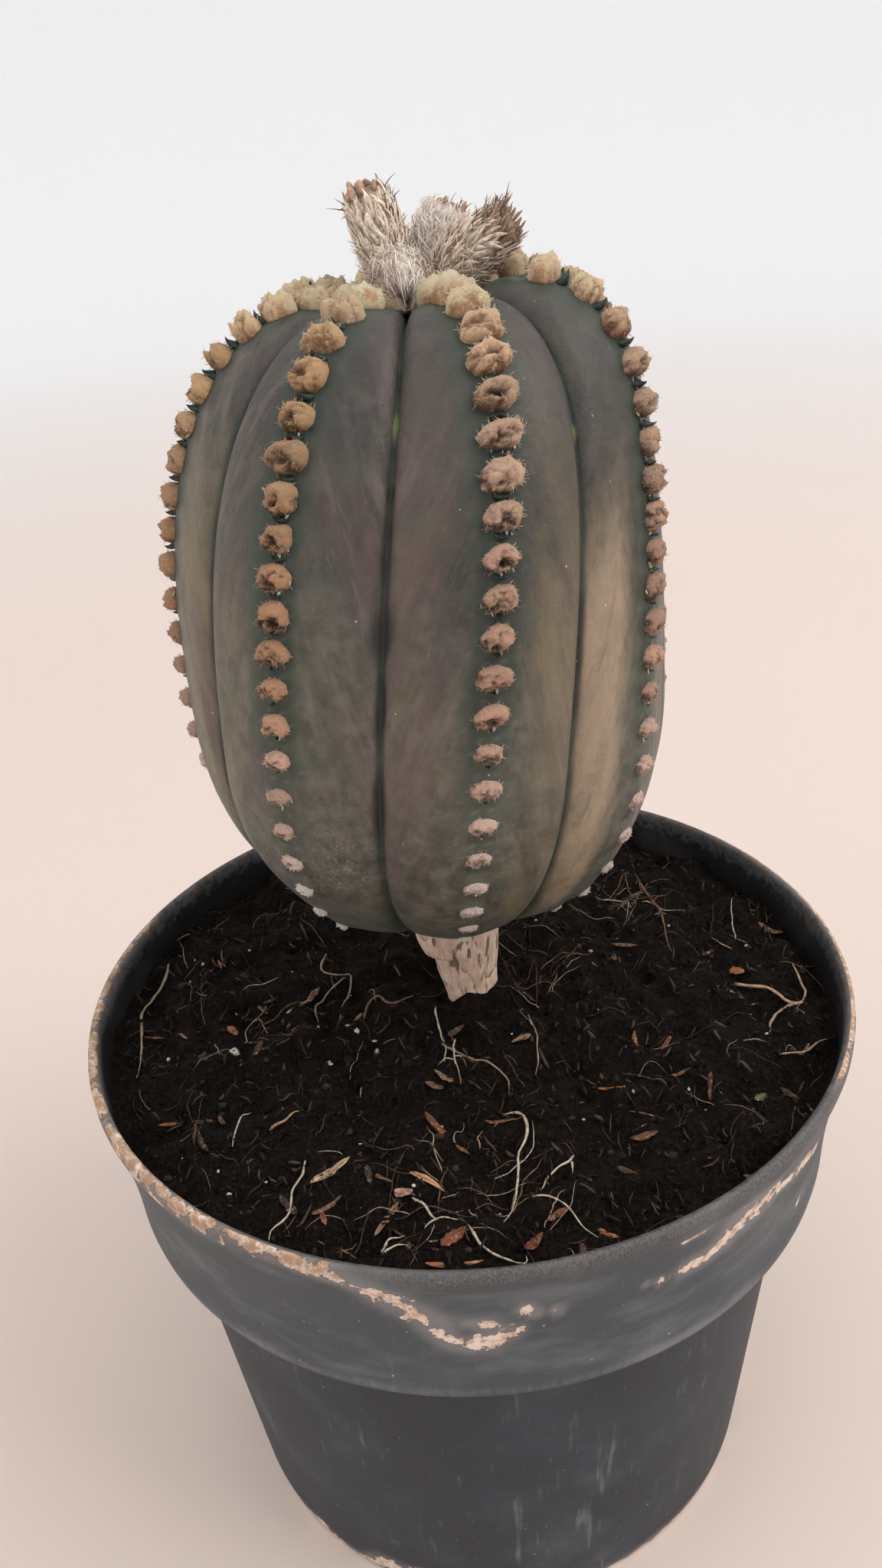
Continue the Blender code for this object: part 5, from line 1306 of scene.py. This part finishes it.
straw = Finish("dry_bracts", 0.2, {"Sheen Weight": 0.3, "Sheen Tint": (1.0, 0.88, 0.78, 1.0)})
fibre = straw.noise(1700, 3, 0.6)
ripe = straw.field("ripe")
colour = straw.add("Mix", {"data_type": "RGBA", "blend_type": "MULTIPLY"},
                   {0: fibre.step(0.60, 0.36) * 0.5, 6: straw.field("tone", "Vector"), 7: tint("c09c80")}, 2)
colour = straw.mix((ripe + (fibre - 0.5) * 0.25).step(0.60, 1.0) * 0.9, colour, tint("765642"))
straw.set(colour=colour, roughness=0.8, normal=straw.relief(fibre, 0.0002))
for seed, flower in enumerate(FLOWERS):
    draw = np.random.default_rng(70 + seed)
    bract_count, bract_long, bract_half, spread, hair_count, wool_long, bristle_count = DRESSING[flower]
    tone, fluff_tone, stripe_tone = tones(STRAW[flower], FLUFF[flower], STRIPES[flower])
    core_share, core_turn = np.broadcast_arrays(np.linspace(0, 1, CORE_ROWS)[:, None], even_turn(CORE_COLUMNS))
    folds = turned(2.2, core_turn, core_share * 3 + seed * 9)
    ridge = np.abs(lumps(folds, 1.0, 71)) * 0.9 + 0.4 * lumps(folds * 2.3, 1.0, 72)
    core_points, _, _ = on_flower(flower, core_share, core_turn, -0.0010 + 0.0007 * ridge)
    ends = np.stack([flower_axis(flower, share)[0] for share in (0.0, 0.97)])
    core = make_piece("flower_core_" + flower, np.concatenate([core_points.reshape(-1, 3), ends]),
                      closed_faces(CORE_ROWS, CORE_COLUMNS), straw, ripe=with_ends(core_share ** 3 * 0.95),
                      tone=np.broadcast_to(tone * 0.9, (CORE_ROWS * CORE_COLUMNS + 2, 3)))
    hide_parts("dried_flower_" + flower)
    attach(core, "root")

    bract_share = np.sort(draw.uniform(0.0, 0.84, bract_count))
    bract_turn = np.arange(bract_count) * GOLDEN_ANGLE + draw.normal(0, 0.25, bract_count)
    long = bract_long * draw.uniform(0.7, 1.2, bract_count)
    part = np.linspace(0, 1, len(BRACT_TAPER))
    rise = spread * draw.uniform(-0.2, 2.0, (bract_count, 1)) * part ** 2
    rise = -0.0005 + 0.0007 * np.sin(part * math.pi * 0.6) + rise
    bract_paths = along_flower(flower, bract_share, bract_turn, long, draw.normal(0, 0.16, bract_count), rise)
    bract_wide = bract_half * draw.uniform(0.65, 1.2, (bract_count, 1)) * BRACT_TAPER
    bract_tone = np.minimum(tone * draw.uniform(0.75, 1.10, (bract_count, 1)), 1)
    ripeness = part ** 4 * draw.uniform(0.3, 1.15, (bract_count, 1))
    facing = on_flower(flower, bract_share, bract_turn)[1]
    lobe_count, lobe_long, lobe_half, flare, lift, lobe_share, lobe_colour = LOBES[flower]
    lobe_at = draw.uniform(lobe_share - 0.02, 0.97, lobe_count)
    lobe_turn = np.arange(lobe_count) * GOLDEN_ANGLE + draw.normal(0, 0.2, lobe_count)
    lobe_root, lobe_out, lobe_way = on_flower(flower, lobe_at, lobe_turn, -0.0004)
    lobe_way = unit(lobe_way + lobe_out * flare * draw.uniform(0.2, 1.6, (lobe_count, 1)) + np.array([0, 0, lift]))
    lobe_paths = hair_paths(lobe_root, lobe_way, lobe_long * draw.uniform(0.65, 1.15, lobe_count), len(LOBE_TAPER),
                            0.12, draw)
    lobe_wide = lobe_half * draw.uniform(0.7, 1.2, (lobe_count, 1)) * LOBE_TAPER
    lobe_tone = tones(lobe_colour) * draw.uniform(0.6, 1.3, (lobe_count, 1))
    blades = bundle("bracts_" + flower, np.concatenate([bract_paths, lobe_paths]),
                    np.concatenate([bract_wide, lobe_wide]), 0.2, 5, straw,
                    np.concatenate([facing, lobe_out])[:, None],
                    ripe=np.concatenate([ripeness, np.zeros_like(lobe_wide)]),
                    tone=np.minimum(np.concatenate([bract_tone, lobe_tone]), 1))
    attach(blades, "root")

    hair_share = draw.uniform(-0.08, 0.86 if wool_long > 0.0028 else 0.6, hair_count)
    hair_turn = draw.uniform(0, math.tau, hair_count)
    rise = -0.0004 + np.array([0.0, 0.0006, 0.0009, 0.0010]) * draw.uniform(0.1, 1.7, (hair_count, 1))
    rise = rise + 0.00025 * draw.normal(size=rise.shape)
    paths = along_flower(flower, hair_share, hair_turn, wool_long * draw.uniform(0.5, 1.15, hair_count),
                         draw.normal(0, 0.35, hair_count), rise)
    half = draw.uniform(0.00005, 0.00010, (hair_count, 1)) * np.array([1, 1, 0.8, 0.3])
    band = turned(3.6, hair_turn, hair_share * 1.6 + seed * 5)
    stripe = np.clip((lumps(band, 1.0, 73) - 0.05) * 3 + draw.normal(0, 0.25, hair_count), 0, 1)[:, None]
    hair_tone = (fluff_tone * (1 - stripe) + stripe_tone * stripe) * draw.uniform(0.9, 1.3, (hair_count, 1))
    wool = bundle("flower_wool_" + flower, paths, half, 1, 3, floss, FLOSS_FACING, tone=np.minimum(hair_tone, 1))
    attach(wool, "root")

    bristle_share = draw.uniform(0.1, 1.0, bristle_count) ** 0.5
    root, outward, heading = on_flower(flower, bristle_share, draw.uniform(0, math.tau, bristle_count), -0.0003)
    high = np.clip(bristle_share - 0.75, 0, 0.25)[:, None] * 4 * lift
    lie = heading * draw.uniform(0.4, 1.0, (bristle_count, 1))
    lie = lie + outward * draw.uniform(0.1, 0.7, (bristle_count, 1)) + high * np.array([0, 0, 2.2])
    long = draw.uniform(0.0014, 0.0026, bristle_count) * (1 + 0.6 * high[:, 0])
    paths = hair_paths(root, unit(lie), long, 6, 0.25, draw)
    half = draw.uniform(0.00007, 0.00012, (bristle_count, 1)) * np.array([1, 1, 0.9, 0.75, 0.5, 0.15])
    bristle_tone = tones("4a3028") * draw.uniform(0.5, 1.8, (bristle_count, 1))
    bristles = bundle("bristles_" + flower, paths, half, 1, 4, floss, FLOSS_FACING, tone=bristle_tone)
    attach(bristles, "root")

# Studio
# A plain pale floor that curves up into a round backdrop, soft light from large panels, and the camera at the
# photograph's angle.
COVE_RADIUS = 2.4
COVE_BEND = 0.7
COVE_HEIGHT = 2.6
COVE_COLUMNS = 96
FLOOR_RINGS = 12
cove_bend = np.linspace(0, 1, 24)[1:] * math.pi / 2
cove_radius = np.concatenate([np.linspace(0.02, COVE_RADIUS - COVE_BEND, FLOOR_RINGS),
                              COVE_RADIUS - COVE_BEND + COVE_BEND * np.sin(cove_bend), [COVE_RADIUS]])
cove_height = np.concatenate([np.zeros(FLOOR_RINGS), COVE_BEND * (1 - np.cos(cove_bend)), [COVE_HEIGHT]])
cove_turn = -even_turn(COVE_COLUMNS)
cove_points = turned(cove_radius[:, None], cove_turn, cove_height[:, None]).reshape(-1, 3)
cove_column = np.arange(COVE_COLUMNS)
cove_centre = np.stack([np.full(COVE_COLUMNS, len(cove_points)), (cove_column + 1) % COVE_COLUMNS, cove_column], -1)
paper = Finish("pale_paper", 0.2, {"Roughness": 0.8})
reach = paper.add("VectorMath", {"operation": "LENGTH"}, {0: paper.place}, 1)
paper.set(colour=paper.mix(reach.step(0.30, 2.2), tint("e0cec4"), tint("f5f5f5")))
floor = make_piece("studio_floor", np.concatenate([cove_points, [(0, 0, 0)]]),
                   [ring_quads(len(cove_radius), COVE_COLUMNS), cove_centre], paper)

world = bpy.data.worlds.new("studio")
world.use_nodes = True
world.node_tree.nodes["Background"].inputs["Color"].default_value = (0.97, 0.98, 1.0, 1.0)
world.node_tree.nodes["Background"].inputs["Strength"].default_value = 1.05
bpy.context.scene.world = world


def soft_panel(name, place, aim, size, power, colour):
    """A square area light at a place, turned to face its aim."""
    panel = bpy.data.lights.new(name, "AREA")
    panel.size, panel.energy, panel.color = size, power, colour
    made = bpy.data.objects.new(name, panel)
    bpy.context.scene.collection.objects.link(made)
    back = unit(np.array(place) - np.array(aim))
    right = unit(np.cross((0, 0, 1), back))
    up = np.cross(back, right)
    made.matrix_world = Matrix([(right[n], up[n], back[n], place[n]) for n in range(3)] + [(0, 0, 0, 1)])
    return made


soft_panel("window", (0.95, -0.25, 1.25), (0, 0, 0.15), 0.9, 10, (1.0, 0.98, 0.95))
soft_panel("fill", (-0.9, -0.7, 1.1), (0, 0, 0.15), 1.2, 3, (1.0, 0.97, 0.94))

PITCH, ROLL, YAW = 0.4867, -0.0787, -0.0529
CAMERA_PLACE = (0.007927, -0.193737, 0.261067)
FOCAL_PIXELS, FRAME_PIXELS = 1540, 2048
SENSOR_WIDTH = 36
forward = np.array([math.sin(YAW) * math.cos(PITCH), math.cos(YAW) * math.cos(PITCH), -math.sin(PITCH)])
level_right = np.array([math.cos(YAW), -math.sin(YAW), 0])
level_up = np.cross(level_right, forward)
right = math.cos(ROLL) * level_right + math.sin(ROLL) * level_up
up = -math.sin(ROLL) * level_right + math.cos(ROLL) * level_up
camera = bpy.data.objects.new("camera", bpy.data.cameras.new("camera"))
camera.data.sensor_width = SENSOR_WIDTH
camera.data.lens = FOCAL_PIXELS / FRAME_PIXELS * SENSOR_WIDTH
camera.data.clip_start = 0.01
bpy.context.scene.collection.objects.link(camera)
camera.matrix_world = Matrix([(right[n], up[n], -forward[n], CAMERA_PLACE[n]) for n in range(3)] + [(0, 0, 0, 1)])
bpy.context.scene.camera = camera
bpy.context.scene.view_settings.view_transform = "Standard"
